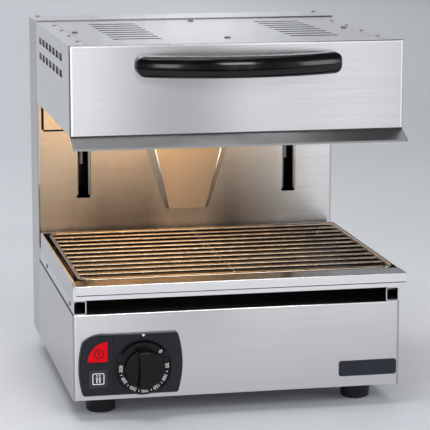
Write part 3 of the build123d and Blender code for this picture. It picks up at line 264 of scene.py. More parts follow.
def brushed(
    name,
    grain,
    dark=STEEL_DARK,
    light=STEEL_LIGHT,
    rough=STEEL_ROUGH,
    bump=0.015,
    marks=(),
    inside=None,
    painted_glow=False,
    spread=1.0,
):
    """Brushed stainless sheet with its grain along x, y or z, boxes darkened or lightened in marks (mostly painted
    shade and painted highlights), and the elements' painted glow and shade where asked.
    """
    paint = Paint(name, Metallic=1.0, Anisotropic=spread)
    scales = [[along if axis == grain else across for axis in "xyz"] for across, along in (FINE_GRAIN, BROAD_GRAIN)]
    lines = paint.noise(scales[0], rough=0.6)
    bands = paint.noise(scales[1])
    mixed = paint.calc("ADD", paint.span(lines, *LINES_SHARE), paint.span(bands, *BANDS_SHARE))
    tone = paint.mix(mixed, dark, light)
    # painted warm glow of the elements, and painted shade towards the bottom
    if painted_glow:
        tone = paint.painted_glow_and_shade(tone)
    # darken or lighten boxes: mostly painted shade and painted highlights
    for low, high, shade in marks:
        tone = paint.mix(paint.within(low, high), tone, (shade, shade, shade), "MULTIPLY")
    finish = paint.span(mixed, 0.0, 1.0, rough[1], rough[0])
    if inside:
        tone, finish = paint.darken_inside(tone, finish, *inside)
    across = paint.add("ShaderNodeCombineXYZ")
    for target, value in zip(across.inputs, ACROSS_UPRIGHT if grain == "z" else ACROSS_LEVEL):
        paint.feed(target, value)
    normal = paint.bump(lines, bump, GRAIN_DEPTH)
    return paint.shade(Base_Color=tone, Roughness=finish, Normal=normal, Tangent=across.outputs[0])


def plain_metal(name, dark, light, rough, grain=240.0):
    """Rolled, plated or oxidised metal with a faint mottle."""
    paint = Paint(name, Metallic=1.0)
    mottle = paint.noise(grain, detail=4.0, rough=0.6)
    return paint.shade(
        Base_Color=paint.mix(paint.span(mottle, *PATCHES, 0.0, 1.0), dark, light),
        Roughness=paint.span(mottle, *PATCHES, *rough),
        Normal=paint.bump(mottle, MOTTLE_BUMP, GRAIN_DEPTH),
    )


def moulded(name, dark, light, rough, grain=1500.0, bump=0.08, coat=0.0, gloss=0.5, crown=None):
    """Moulded plastic or rubber with a fine skin texture, or with the shading of a crowned face."""
    paint = Paint(name, Coat_Weight=coat, Coat_Roughness=COAT_ROUGH, Specular_IOR_Level=gloss)
    cloud = paint.noise(CLOUD_SCALE)
    return paint.shade(
        Base_Color=paint.mix(cloud, dark, light),
        Roughness=paint.span(cloud, *PATCHES, *rough),
        Normal=paint.crown(*crown) if crown else paint.bump(paint.noise(grain), bump, SKIN_DEPTH),
    )


# ---------------------------------------------------------------- darker and lighter boxes of the steel, mostly painted shade and painted highlights, with widths in millimetres
def mark(shade, x=(-DEEP, DEEP), y=(-DEEP, DEEP), z=(0, DEEP)):
    """A box and the factor that darkens or lightens the steel inside it, mostly as painted shade or a painted
    highlight.
    """
    return (*zip(x, y, z), shade)


LEFT_JOINT, LEFT_FOLD = 1.4, 4.0  # where the painted shade of the joint gap and the painted highlight of the fold end, from a front panel's edge
RIGHT_JOINT, RIGHT_FOLD = 1.3, 3.0
HOOD_JOINT, HOOD_FOLD = 1.1, 2.8
BASE_FOLD = 1.6
SIDE_FRONT, SIDE_BACK = 11, 6  # the strips of painted shade at the ends of the hood's sides
COVER_EDGE = 1.4
TOP_SKIN = 0.12  # below it the walls of the top's slots get painted shade
SHELF = ((-PAN_HALF, -0.2345, 0.1905), (PAN_HALF, PAN_FRONT, 0.1945))  # the ledge behind the pan's lip
PAN_SIDE = 0.22395
PAN_SIDE_FRONT = -0.234
PAN_RIM = 0.1925

# painted shade of the gaps at the panels' side edges, and painted highlights on their folds
FOLD_MARKS = [
    mark(0.2, x=(-HALF - MM, -HALF + LEFT_JOINT * MM)),
    mark(1.35, x=(-HALF + LEFT_JOINT * MM, -HALF + LEFT_FOLD * MM)),
    mark(1.4, x=(HALF - RIGHT_FOLD * MM, HALF - RIGHT_JOINT * MM)),
    mark(0.45, x=(HALF - RIGHT_JOINT * MM, HALF + MM)),
]
# painted shade of the joint under the hood's top, and a painted highlight on the fold below it
HOOD_MARKS = [
    mark(0.5, z=(HOOD_TOP - HOOD_JOINT * MM, HOOD_TOP + MM)),
    mark(1.25, z=(HOOD_TOP - HOOD_FOLD * MM, HOOD_TOP - HOOD_JOINT * MM)),
]
# a painted highlight on the base front's top fold
BASE_MARKS = [mark(1.45, z=(BASE_TOP - BASE_FOLD * MM, BASE_TOP + MM))]
# painted shade at the front and back corners of the hood's sides
SIDE_MARKS = [
    mark(0.55, y=(-DEEP, FRONT_Y + SIDE_FRONT * MM)),
    mark(0.55, y=(HOOD_BACK - SIDE_BACK * MM, DEEP)),
]
# the ledge behind the lip darker, and painted shade on the pan's outer sides
PAN_MARKS = [
    (*SHELF, 0.14),
    mark(0.62, x=(-DEEP, -PAN_SIDE), y=(PAN_SIDE_FRONT, DEEP), z=(0, PAN_RIM)),
    mark(0.62, x=(PAN_SIDE, DEEP), y=(PAN_SIDE_FRONT, DEEP), z=(0, PAN_RIM)),
]
# painted shade on the back panel's inner face, seen through the slots
BACK_MARKS = [mark(0.1, y=(-DEEP, INNER_BACK))]
# painted shade of the gap under the cover's front edge
COVER_MARKS = [mark(0.2, y=(COVER_FRONT - MM, COVER_FRONT + COVER_EDGE * MM))]
# painted shade on the walls of the top's slots
TOP_MARKS = [mark(0.06, z=(0, HOOD_TOP - TOP_SKIN * MM))]

# ---------------------------------------------------------------- materials
# One stainless steel in copies whose tones are painted light and shade: darker for the rails, column sides, visor and
# base sides, lighter for the base front, hood sides, splash plate, tapered cover and pan.
steel_x = brushed("steel_grain_x", "x")
steel_y = brushed("steel_grain_y", "y", dark=(0.47, 0.47, 0.475), light=(0.54, 0.54, 0.545))
steel_z = brushed("steel_grain_z", "z", dark=(0.49, 0.48, 0.465), light=(0.56, 0.55, 0.535))
back_steel = brushed("back_steel", "z", marks=BACK_MARKS)
visor_steel = brushed(
    "visor_steel", "x", dark=(0.28, 0.28, 0.284), light=(0.35, 0.35, 0.354), rough=(0.22, 0.28), spread=0.8
)
base_steel = brushed("base_side_steel", "y", dark=(0.35, 0.345, 0.335), light=(0.41, 0.405, 0.395))
hood_front_steel = brushed("hood_front_steel", "x", marks=FOLD_MARKS + HOOD_MARKS)
base_front_steel = brushed(
    "base_front_steel", "x", dark=(0.57, 0.57, 0.578), light=(0.64, 0.64, 0.648), marks=FOLD_MARKS[1:] + BASE_MARKS
)
hood_steel = brushed("hood_side_steel", "y", dark=(0.61, 0.6, 0.58), light=(0.68, 0.67, 0.65), marks=SIDE_MARKS)
splash_steel = brushed(
    "splash_steel", "x", dark=(0.66, 0.66, 0.66), light=(0.78, 0.78, 0.78), rough=(0.2, 0.25), bump=0.02, painted_glow=True
)
cover_steel = brushed(
    "tapered_cover_steel",
    "x",
    dark=(0.84, 0.83, 0.82),
    light=(0.94, 0.93, 0.92),
    rough=(0.3, 0.36),
    bump=0.02,
    painted_glow=True,
)
cover_top_steel = brushed("cover_top_steel", "x", marks=COVER_MARKS)
top_steel = brushed("top_steel", "x", marks=TOP_MARKS)
pan_metal = brushed(
    "pan_steel",
    "x",
    dark=(0.7, 0.7, 0.71),
    light=(0.8, 0.8, 0.81),
    rough=(0.2, 0.24),
    spread=0.4,
    inside=PAN_INSIDE,
    marks=PAN_MARKS,
)

# Plain metals and moulded pieces: name, dark colour, light colour, roughness from and to.
# darker than bare zinc plate, as painted shade where these parts show through the slots
hidden_zinc = plain_metal("zinc_plate", (0.2, 0.205, 0.21), (0.32, 0.325, 0.335), (0.35, 0.5))
ground_steel = plain_metal("ground_steel", (0.6, 0.61, 0.62), (0.7, 0.71, 0.72), (0.12, 0.2))
screw_steel = plain_metal("screw_steel", (0.2, 0.2, 0.21), (0.34, 0.34, 0.35), (0.3, 0.42))
stud_steel = plain_metal("stud_steel", (0.1, 0.1, 0.105), (0.2, 0.2, 0.21), (0.25, 0.4))
dark_wire = plain_metal("spring_wire", (0.16, 0.16, 0.17), (0.28, 0.28, 0.29), (0.35, 0.5))
bronze = plain_metal("bronze", (0.42, 0.28, 0.12), (0.6, 0.42, 0.2), (0.35, 0.5))
grid_metal = plain_metal("grid_wire", (0.25, 0.205, 0.16), (0.43, 0.365, 0.3), (0.2, 0.28), grain=60.0)
# a painted highlight for the bright folds
highlight_metal = plain_metal("fold_painted_highlight", (0.88, 0.87, 0.85), (0.97, 0.96, 0.94), (0.28, 0.4))
shadow_steel = plain_metal("joint_shadow", (0.05, 0.05, 0.052), (0.09, 0.09, 0.095), (0.45, 0.6))
screen_grey = plain_metal("screen_grey", (0.17, 0.17, 0.175), (0.26, 0.26, 0.265), (0.5, 0.65), grain=700.0)

gloss_black = moulded(
    "gloss_black", (0.003, 0.003, 0.0035), (0.006, 0.006, 0.007), (0.1, 0.16), bump=0.01, gloss=0.22
)
knob_black = moulded(
    "knob_black", (0.002, 0.002, 0.0025), (0.005, 0.005, 0.006), (0.12, 0.18), bump=0.02, gloss=0.22
)
satin_black = moulded(
    "satin_black", (0.012, 0.0135, 0.018), (0.022, 0.024, 0.03), (0.42, 0.55), bump=0.1, gloss=0.14
)
icon_black = moulded("icon_plate_black", (0.026, 0.028, 0.034), (0.036, 0.038, 0.045), (0.4, 0.5), gloss=0.22)
HANDLE_SLOPE = 30.0  # how fast the handle's shading turns away from its middle
handle_low, handle_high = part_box("lift_handle")
handle_black = moulded(
    "handle_black",
    (0.0015, 0.0015, 0.002),
    (0.003, 0.003, 0.004),
    (0.1, 0.16),
    gloss=0.34,
    crown=((handle_low.z + handle_high.z) / 2, HANDLE_SLOPE),
)
rubber = moulded(
    "foot_rubber", (0.005, 0.005, 0.0055), (0.011, 0.011, 0.012), (0.35, 0.5), grain=900.0, bump=0.1, gloss=0.3
)
navy = moulded(
    "dark_plate", (0.008, 0.0095, 0.018), (0.013, 0.015, 0.026), (0.3, 0.4), bump=0.03, coat=0.1, gloss=0.3
)
red = moulded("red_lens", (0.6, 0.003, 0.01), (0.74, 0.005, 0.014), (0.3, 0.4), bump=0.03, gloss=0.06)
symbol_dark = moulded("symbol_dark", (0.09, 0.002, 0.003), (0.14, 0.003, 0.004), (0.4, 0.5), bump=0.02, gloss=0.2)
white_print = moulded("white_print", (0.72, 0.72, 0.72), (0.82, 0.82, 0.82), (0.4, 0.5), bump=0.02)
# black as painted shadow and painted shade, for the aprons' edges and the studs' recesses
shadow_black = moulded("painted_shadow_black", (0.003, 0.003, 0.003), (0.006, 0.006, 0.006), (0.5, 0.6), gloss=0.1)
wool = moulded("mineral_wool", (0.5, 0.45, 0.35), (0.7, 0.65, 0.53), (0.85, 0.95), grain=400.0, bump=0.6)

SHEATH_DARK = (0.16, 0.06, 0.03)
SHEATH_LIGHT = (0.3, 0.12, 0.05)
SHEATH_CLOUD = 60.0
GLOW_COLOUR = (1.0, 0.62, 0.27)
GLOW = 12.0
GLOW_END = 0.25  # the share of the glow at the elements' ends
GLOW_MIDDLE = -0.06  # the elements are hottest a little left of their middle
GLOW_HALF = 0.2


def glowing(name):
    """The oxidised sheath of a heating element, hottest near its middle."""
    paint = Paint(name, Metallic=0.3, Roughness=0.6, Emission_Color=GLOW_COLOUR)
    cloud = paint.noise(SHEATH_CLOUD, detail=3.0, rough=0.6)
    offset = paint.calc("SUBTRACT", paint.axes(paint.place())[0], GLOW_MIDDLE)
    distance = paint.calc("ABSOLUTE", offset)
    return paint.shade(
        Base_Color=paint.mix(cloud, SHEATH_DARK, SHEATH_LIGHT),
        Emission_Strength=paint.span(distance, 0.0, GLOW_HALF, GLOW, GLOW_END * GLOW),
    )


element_glow = glowing("element_sheath")


def dress(material, *names):
    """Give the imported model's nodes of these names a material."""
    for name in names:
        mesh = nodes[name].data
        mesh.materials.clear()
        mesh.materials.append(material)
        for polygon in mesh.polygons:
            polygon.material_index = 0


dress(base_front_steel, "base_front_panel")
dress(hood_front_steel, "hood_front_panel")
dress(visor_steel, "visor")
dress(cover_top_steel, "column_top_cover")
dress(top_steel, "hood_top_plate")
dress(splash_steel, "splash_plate", "hood_rear_wall")
dress(cover_steel, "wire_cover")
dress(base_steel, "base_side_left", "base_side_right")
dress(steel_y, "rail_left", "rail_right")
dress(hood_steel, "hood_side_left", "hood_side_right")
dress(steel_x, "base_deck", "reflector", "element_combs")
dress(steel_z, "column_side_left", "column_side_right")
dress(back_steel, "column_back")
dress(pan_metal, "grill_pan")
dress(grid_metal, "wire_grid")
dress(hidden_zinc, "base_floor", "rod_bracket_lower", "rod_bracket_upper", "lift_arm_left", "lift_arm_right", "tie_bar")
dress(shadow_steel, "heat_shield")
dress(ground_steel, "guide_rod_left", "guide_rod_right")
dress(screw_steel, "foot_screws", "rail_screws", "cover_screws", "rod_screws", "handle_screws", "knob_shaft")
dress(stud_steel, "hood_rivets", "hood_studs")
dress(dark_wire, "balance_springs")
dress(bronze, "slide_bushes")
dress(handle_black, "lift_handle")
dress(gloss_black, "cable_gland", "gland_locknut")
dress(knob_black, "control_knob")
dress(satin_black, "control_bezel", "pilot_lamp", "energy_regulator", "terminal_block")
dress(rubber, "foot_front_left", "foot_front_right", "foot_rear_left", "foot_rear_right")
dress(navy, "badge_plate")
dress(icon_black, "pictogram_plate")
dress(red, "pilot_lens")
dress(wool, "insulation_slab")
dress(element_glow, "heating_element_1", "heating_element_2", "heating_element_3")

# ---------------------------------------------------------------- the small pieces' places and sizes, in millimetres
# A rib is (half its width, its rise).
SIDES = (-1, 1)
TO_FRONT = (0, -1, 0)
UPWARD = (0, 0, 1)
WIDTH_HALF = HALF / MM
SPLASH_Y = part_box("splash_plate")[0].y / MM

VISOR_INSET = 0.6
VISOR_RIB = (1.0, 0.2)
LIP_LOW = 180.2
LIP_INSET = 1.5
LIP_RIB = (0.55, 0.15)

SLOT_X = 157.0
SLOT_HALF = 7.5
SLOT_LOW = 245.0
SLOT_HIGH = 480.0
SLOT_FOLDS = (-SLOT_HALF - 0.9, SLOT_HALF + 0.9, SLOT_HALF + 3.4)  # across each slot, from its middle
SLOT_RIB = (0.75, 0.8)

TOP_SLOT_X = 122.0
TOP_SLOT_Y = -11.15
TOP_SLOT_PITCH = 31.7
TOP_SLOTS = 8
TOP_SLOT_EDGE = 3.0  # from a slot's middle to the rib behind it
TOP_SLOT_REACH = 33.0
TOP_SLOT_RIB = (0.5, 0.45)

WEDGE_FOOT = 33.0
WEDGE_FOOT_DEPTH = 4.5
WEDGE_HEAD_DEPTH = 16.29
WEDGE_FACE = (0.383, -0.924)  # between the tapered cover's front and side
WEDGE_RIB = (0.95, 0.5)

APRON_HALF = 215.5
NOTCH_HALF = 82.6
TRIM = 2.8
TRIM_TOP = 6  # above the hood's lower edge
TRIM_PROUD = 0.2
HEM_PROUD = 0.7
HEM_GAP = 0.4
TRIM_BEVEL = 0.2

VENT_ROWS = (481.5, 459.5)
VENT_HALF = 5.0
VENT_Y = (-134, 126)
SCREEN_DEPTHS = (2.4, 3.4)  # the screen's face and back, in from the hood's side
SCREEN_EDGE = 3  # past the slots
SCREEN_BEVEL = 0.3
SCREEN_WIRES = range(VENT_Y[0] + 6, VENT_Y[1] - 2, 4)  # where along y they stand
SCREEN_WIRE_EDGE = 2
SCREEN_RIB = (1.2, 0.7)

STUDS = ((0.0, -129.0), (0.0, 133.2), (-192.0, -17.15), (192.0, -17.15))
CROSS_TURN = 0.4  # radians
CROSS_REACH = 2.6
CROSS_SINK = 0.05
CROSS_RIB = (0.55, 0.12)

PRINT_THICK = 0.12
DIGIT_HEIGHT = 0.7  # of the font's size
DIGIT_WEIGHT = 0.012  # what thickens a digit's strokes, of its height
DIGIT_CURVE = 3
DIAL_FACE = -214.5
DIAL_RING = 30.9
DIAL_NUMBERS = 7
DIAL_COUNT = 50  # from one number to the next
DIAL_FIRST = 86  # degrees clockwise from the top
DIAL_STEP = 30.7
DIAL_ZERO = 45.5
DIAL_HEIGHT = 4.6
DIAL_ZERO_HEIGHT = 5.0
TICK_OUT = 0.8
TICK_HALF = 1.1
TICK_RIB = (0.5, 0.12)

ROUND_STEPS = 32
CORNER_STEPS = 4
POINTER = ((-133.2, 119.0), (-128.6, 119.0), (-129.4, 117.2), (-130.9, 115.6), (-132.4, 117.2))
STROKE_CORNER = 0.6
LENS_PLACE = (-191.2, 95.0)
LENS_RING = (5.3, 6.7)
LENS_STROKE = (0.4, 0.8, 2.6)  # how far up, half its width, half its height
PICTOGRAM_PLACE = (-192.2, 60.7)
PICTOGRAM_FRAME = ((6.9, 6.7, 1.2), (8.0, 7.8, 2.0))  # half width, half height and corner, inside and outside
PICTOGRAM_STROKES = ((1.9, 4.3, 0.8, 1.1), (2.0, -3.1, 0.75, 2.4))  # how far out and up, half width, half height
PICTOGRAM_ROUNDS = ((0.9, 3.6, 1.3), (0.5, 1.5, 2.0))  # how far up, half width, half height


# ---------------------------------------------------------------- small pieces, drawn in millimetres
def made(name, sheet, body, material, smooth=True):
    """Turn a bmesh into a piece that rides on a body."""
    mesh = bpy.data.meshes.new(name)
    bmesh.ops.recalc_face_normals(sheet, faces=sheet.faces)
    sheet.to_mesh(mesh)
    sheet.free()
    for polygon in mesh.polygons:
        polygon.use_smooth = smooth
    mesh.materials.append(material)
    piece = bpy.data.objects.new(name, mesh)
    bpy.context.scene.collection.objects.link(piece)
    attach(piece, body)


def bead(sheet, start, end, face, rib, steps=6):
    """A half-round rib from start to end, on a surface that faces along face."""
    start, end, face = (Vector(value) for value in (start, end, face))
    half, rise = rib
    across = (end - start).cross(face).normalized()
    rings = []
    for point in (start, end):
        ring = []
        for step in range(steps + 1):
            angle = math.pi * step / steps
            offset = across * half * math.cos(angle) + face * rise * math.sin(angle)
            ring.append(sheet.verts.new((point + offset) * MM))
        rings.append(ring)
    for first, second in ((i, (i + 1) % (steps + 1)) for i in range(steps + 1)):
        sheet.faces.new((rings[0][first], rings[0][second], rings[1][second], rings[1][first]))
    for ring in rings:
        sheet.faces.new(ring)


def plate(sheet, low, high, bevel):
    """A rectangular plate with its edges rounded."""
    verts = bmesh.ops.create_cube(sheet, size=1.0)["verts"]
    centre = [(a + b) / 2 for a, b in zip(low, high)]
    size = [b - a for a, b in zip(low, high)]
    for vert in verts:
        vert.co = Vector((c + s * v for c, s, v in zip(centre, size, vert.co))) * MM
    edges = {edge for vert in verts for edge in vert.link_edges}
    bmesh.ops.bevel(sheet, geom=list(edges), offset=bevel * MM, segments=2, affect="EDGES", profile=0.5)


def joined_rows(sheet, outlines, closed=False):
    """Rows of points from (outline, y) pairs, with faces from each to the next; closed adds the last to the first."""
    rows = [[sheet.verts.new((x * MM, y * MM, z * MM)) for x, z in outline] for outline, y in outlines]
    for first, second in zip(rows, rows[1:] + rows[:1] if closed else rows[1:]):
        for index in range(len(first)):
            other = (index + 1) % len(first)
            sheet.faces.new((first[index], first[other], second[other], second[index]))
    return rows


def front_outline(sheet, outline, face_y):
    """A flat print on a front face at face_y, from an outline of (x, z) points."""
    for row in joined_rows(sheet, ((outline, face_y), (outline, face_y - PRINT_THICK))):
        sheet.faces.new(row)


def front_frame(sheet, inner, outer, face_y):
    """A closed flat line on a front face, between two outlines with the same number of points."""
    raised = face_y - PRINT_THICK
    joined_rows(sheet, ((inner, face_y), (inner, raised), (outer, raised), (outer, face_y)), closed=True)


def round_outline(x, z, radius_x, radius_z):
    """A circle or an ellipse."""
    angles = [2 * math.pi * step / ROUND_STEPS for step in range(ROUND_STEPS)]
    return [(x + radius_x * math.cos(a), z + radius_z * math.sin(a)) for a in angles]


def corner_outline(x, z, half_x, half_z, corner):
    """A rectangle with round corners."""
    points = []
    for turn, (sign_x, sign_z) in enumerate(((1, 1), (-1, 1), (-1, -1), (1, -1))):
        for step in range(CORNER_STEPS + 1):
            angle = math.pi / 2 * (turn + step / CORNER_STEPS)
            across = x + sign_x * (half_x - corner) + corner * math.cos(angle)
            up = z + sign_z * (half_z - corner) + corner * math.sin(angle)
            points.append((across, up))
    return points


def level_joint(name, body, inset, y, z, rib):
    """A dark bead across the whole front, painted shadow of a joint."""
    sheet = bmesh.new()
    bead(sheet, (-WIDTH_HALF + inset, y, z), (WIDTH_HALF - inset, y, z), TO_FRONT, rib)
    made(name, sheet, body, shadow_steel)


def slot_folds():
    """The folds beside the splash plate's arm slots, bright as a painted highlight."""
    sheet = bmesh.new()
    for x in (-SLOT_X, SLOT_X):
        for offset in SLOT_FOLDS:
            bead(sheet, (x + offset, SPLASH_Y, SLOT_LOW), (x + offset, SPLASH_Y, SLOT_HIGH), TO_FRONT, SLOT_RIB)
    made("slot_folds", sheet, "cabinet", highlight_metal)


def top_slot_shadows():
    """Dark ribs behind the slots in the hood's top, painted shade of the slots."""
    top = HOOD_TOP / MM
    sheet = bmesh.new()
    for x in (-TOP_SLOT_X, TOP_SLOT_X):
        for step in range(TOP_SLOTS):
            y = TOP_SLOT_Y + TOP_SLOT_PITCH * (step - (TOP_SLOTS - 1) / 2) + TOP_SLOT_EDGE
            bead(sheet, (x - TOP_SLOT_REACH, y, top), (x + TOP_SLOT_REACH, y, top), UPWARD, TOP_SLOT_RIB)
    made("top_slot_shadows", sheet, "hood", shadow_steel)


def wedge_folds():
    """The folds down the tapered cover, bright as a painted highlight."""
    low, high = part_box("wire_cover")
    sheet = bmesh.new()
    for side in SIDES:
        foot = (side * (WEDGE_FOOT - WEDGE_FOOT_DEPTH), SPLASH_Y - WEDGE_FOOT_DEPTH, low.z / MM)
        head = (side * (high.x / MM - WEDGE_HEAD_DEPTH), SPLASH_Y - WEDGE_HEAD_DEPTH, high.z / MM)
        bead(sheet, foot, head, (side * WEDGE_FACE[0], WEDGE_FACE[1], 0), WEDGE_RIB)
    made("wedge_folds", sheet, "cabinet", highlight_metal)


def apron_shadow_trim():
    """Black strips down the rear wall's aprons and along their hems, painted shadow of the gaps at their edges."""
    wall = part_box("hood_rear_wall")
    face, back, low = wall[0].y / MM, wall[1].y / MM, wall[0].z / MM
    sheet = bmesh.new()
    for side in SIDES:
        left, right = sorted((side * APRON_HALF, side * (APRON_HALF + TRIM)))
        plate(sheet, (left, face - TRIM_PROUD, low + TRIM), (right, back, HOOD_LOW / MM + TRIM_TOP), TRIM_BEVEL)
        left, right = sorted((side * NOTCH_HALF, side * APRON_HALF))
        plate(sheet, (left, face - HEM_PROUD, low), (right, face, low + TRIM - HEM_GAP), TRIM_BEVEL)
    made("apron_shadow_trim", sheet, "hood", shadow_black, smooth=False)


def vent_screens():
    """The ribbed screens behind the slots in the hood's sides."""
    sheet = bmesh.new()
    front, rear = VENT_Y
    for side in SIDES:
        face, back = (side * (WIDTH_HALF - depth) for depth in SCREEN_DEPTHS)
        left, right = sorted((face, back))
        for z in VENT_ROWS:
            low, high = z - VENT_HALF, z + VENT_HALF
            plate(sheet, (left, front, low - SCREEN_EDGE), (right, rear, high + SCREEN_EDGE), SCREEN_BEVEL)
            for y in SCREEN_WIRES:
                foot, head = (face, y, low - SCREEN_WIRE_EDGE), (face, y, high + SCREEN_WIRE_EDGE)
                bead(sheet, foot, head, (side, 0, 0), SCREEN_RIB)
    made("vent_screens", sheet, "hood", screen_grey)


def stud_recesses():
    """The cross recesses of the spacer studs on the hood, black as painted shade."""
    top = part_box("hood_studs")[1].z / MM
    sheet = bmesh.new()
    for x, y in STUDS:
        for angle in (CROSS_TURN, CROSS_TURN + math.pi / 2):
            reach = Vector((math.cos(angle), math.sin(angle), 0)) * CROSS_REACH
            middle = Vector((x, y, top - CROSS_SINK))
            bead(sheet, middle - reach, middle + reach, UPWARD, CROSS_RIB)
    made("stud_recesses", sheet, "hood", shadow_black)


def printed_text(sheet, text, place, face_y, height, turn):
    """A dial number about an (x, z) place, upright when turn is 0, turned clockwise by turn degrees."""
    x, z = place
    curve = bpy.data.curves.new("print", "FONT")
    curve.body = text
    curve.size = height * MM / DIGIT_HEIGHT
    curve.align_x = "CENTER"
    curve.align_y = "CENTER"
    curve.extrude = PRINT_THICK * MM / 2
    curve.offset = DIGIT_WEIGHT * height * MM
    curve.resolution_u = DIGIT_CURVE
    holder = bpy.data.objects.new("print", curve)
    bpy.context.scene.collection.objects.link(holder)
    bpy.context.view_layer.update()
    mesh = bpy.data.meshes.new_from_object(holder.evaluated_get(bpy.context.evaluated_depsgraph_get()))
    stand = Matrix.Rotation(math.pi / 2, 4, "X")
    spin = Matrix.Rotation(math.radians(turn), 4, "Y")
    shift = Matrix.Translation((x * MM, (face_y - PRINT_THICK / 2) * MM, z * MM))
    mesh.transform(shift @ spin @ stand)
    sheet.from_mesh(mesh)
    bpy.data.objects.remove(holder)
    bpy.data.curves.remove(curve)
    bpy.data.meshes.remove(mesh)


def on_ring(x, z, turn):
    """The (x, z) place on the dial's ring about a centre, turn degrees clockwise from the top."""
    around = math.radians(turn)
    return x + DIAL_RING * math.sin(around), z + DIAL_RING * math.cos(around)


def dial_print():
    """Numbers and ticks on the knob's ring."""
    low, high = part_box("knob_shaft")
    x, z = (low.x + high.x) / 2 / MM, (low.z + high.z) / 2 / MM
    sheet = bmesh.new()
    for step in range(DIAL_NUMBERS):
        turn = DIAL_FIRST + DIAL_STEP * step
        number = str(DIAL_COUNT * (step + 1))
        printed_text(sheet, number, on_ring(x, z, turn), DIAL_FACE, DIAL_HEIGHT, turn)
        if step < DIAL_NUMBERS - 1:
            around = math.radians(turn + DIAL_STEP / 2)
            out = Vector((math.sin(around), 0, math.cos(around)))
            middle = Vector((x, DIAL_FACE, z)) + out * (DIAL_RING + TICK_OUT)
            bead(sheet, middle - out * TICK_HALF, middle + out * TICK_HALF, TO_FRONT, TICK_RIB, steps=3)
    printed_text(sheet, "0", on_ring(x, z, DIAL_ZERO), DIAL_FACE, DIAL_ZERO_HEIGHT, DIAL_ZERO)
    made("dial_print", sheet, "knob", white_print, smooth=False)


def pointer_mark():
    """The mark over the knob that its numbers turn past."""
    sheet = bmesh.new()
    front_outline(sheet, POINTER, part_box("control_bezel")[0].y / MM)
    made("pointer_mark", sheet, "cabinet", white_print, smooth=False)


def lens_symbol():
    """The ring and the stroke on the pilot lens."""
    sheet = bmesh.new()
    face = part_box("pilot_lens")[0].y / MM
    x, z = LENS_PLACE
    inner, outer = (round_outline(x, z, radius, radius) for radius in LENS_RING)
    front_frame(sheet, inner, outer, face)
    up, half_x, half_z = LENS_STROKE
    front_outline(sheet, corner_outline(x, z + up, half_x, half_z, STROKE_CORNER), face)
    made("lens_symbol", sheet, "cabinet", symbol_dark, smooth=False)


def pictogram_print():
    """The plain pictogram below the lens."""
    sheet = bmesh.new()
    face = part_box("pictogram_plate")[0].y / MM
    x, z = PICTOGRAM_PLACE
    inner, outer = (corner_outline(x, z, *sizes) for sizes in PICTOGRAM_FRAME)
    front_frame(sheet, inner, outer, face)
    for side in SIDES:
        for out, up, half_x, half_z in PICTOGRAM_STROKES:
            front_outline(sheet, corner_outline(x + side * out, z + up, half_x, half_z, STROKE_CORNER), face)
    for up, half_x, half_z in PICTOGRAM_ROUNDS:
        front_outline(sheet, round_outline(x, z + up, half_x, half_z), face)
    made("pictogram_print", sheet, "cabinet", white_print, smooth=False)


level_joint("visor_joint_shadow", "hood", VISOR_INSET, FRONT_Y / MM, HOOD_LOW / MM, VISOR_RIB)
level_joint("lip_joint_shadow", "pan", LIP_INSET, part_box("grill_pan")[0].y / MM, LIP_LOW, LIP_RIB)
slot_folds()
top_slot_shadows()
wedge_folds()
apron_shadow_trim()
vent_screens()
stud_recesses()
dial_print()
pointer_mark()
lens_symbol()
pictogram_print()

# ---------------------------------------------------------------- floor, backdrop and light
FLOOR_LEFT = -1.7
FLOOR_RIGHT = 2.4
FLOOR_FRONT = -0.85
SWEEP_START = 2.2  # where the floor starts to rise behind the grill
SWEEP_RADIUS = 2.5
SWEEP_STEPS = 24
WALL_HEIGHT = 5.0
STAGE_DARK = (0.68, 0.7, 0.74)
STAGE_LIGHT = (0.75, 0.77, 0.81)
STAGE_CLOUD = 1.4
PALE = (0.86, 0.89, 0.935)  # what the camera sees past the stage
PALE_STRENGTH = 0.9


def sweep_stage():
    """A floor that rises in a long curve into a back wall."""
    profile = [(FLOOR_FRONT, 0.0), (SWEEP_START, 0.0)]
    for step in range(1, SWEEP_STEPS + 1):
        angle = math.pi / 2 * step / SWEEP_STEPS
        profile.append((SWEEP_START + SWEEP_RADIUS * math.sin(angle), SWEEP_RADIUS * (1 - math.cos(angle))))
    profile.append((SWEEP_START + SWEEP_RADIUS, WALL_HEIGHT))
    mesh = bpy.data.meshes.new("stage")
    points = [(x, y, z) for y, z in profile for x in (FLOOR_LEFT, FLOOR_RIGHT)]
    faces = [(2 * i, 2 * i + 1, 2 * i + 3, 2 * i + 2) for i in range(len(profile) - 1)]
    mesh.from_pydata(points, [], faces)
    for polygon in mesh.polygons:
        polygon.use_smooth = True
    stage = bpy.data.objects.new("stage", mesh)
    bpy.context.scene.collection.objects.link(stage)
    paint = Paint("stage_paint", Roughness=0.6, Specular_IOR_Level=0.2)
    paint.shade(Base_Color=paint.mix(paint.noise(STAGE_CLOUD), STAGE_DARK, STAGE_LIGHT))
    mesh.materials.append(paint.material)


sweep_stage()


def softbox(name, place, aim, size, radiance, colour=(1.0, 1.0, 1.0)):
    """A rectangular lamp of a plain brightness, which the camera itself doesn't see."""
    light = bpy.data.lights.new(name, "AREA")
    light.shape = "RECTANGLE"
    light.size, light.size_y = size
    light.energy = radiance * math.pi * size[0] * size[1]
    light.color = colour
    lamp = bpy.data.objects.new(name, light)
    lamp.location = place
    lamp.rotation_euler = (Vector(aim) - Vector(place)).to_track_quat("-Z", "Y").to_euler()
    lamp.visible_camera = False
    bpy.context.scene.collection.objects.link(lamp)


AIM = (0.0, -0.1, 0.3)
COOL = (0.93, 0.96, 1.0)
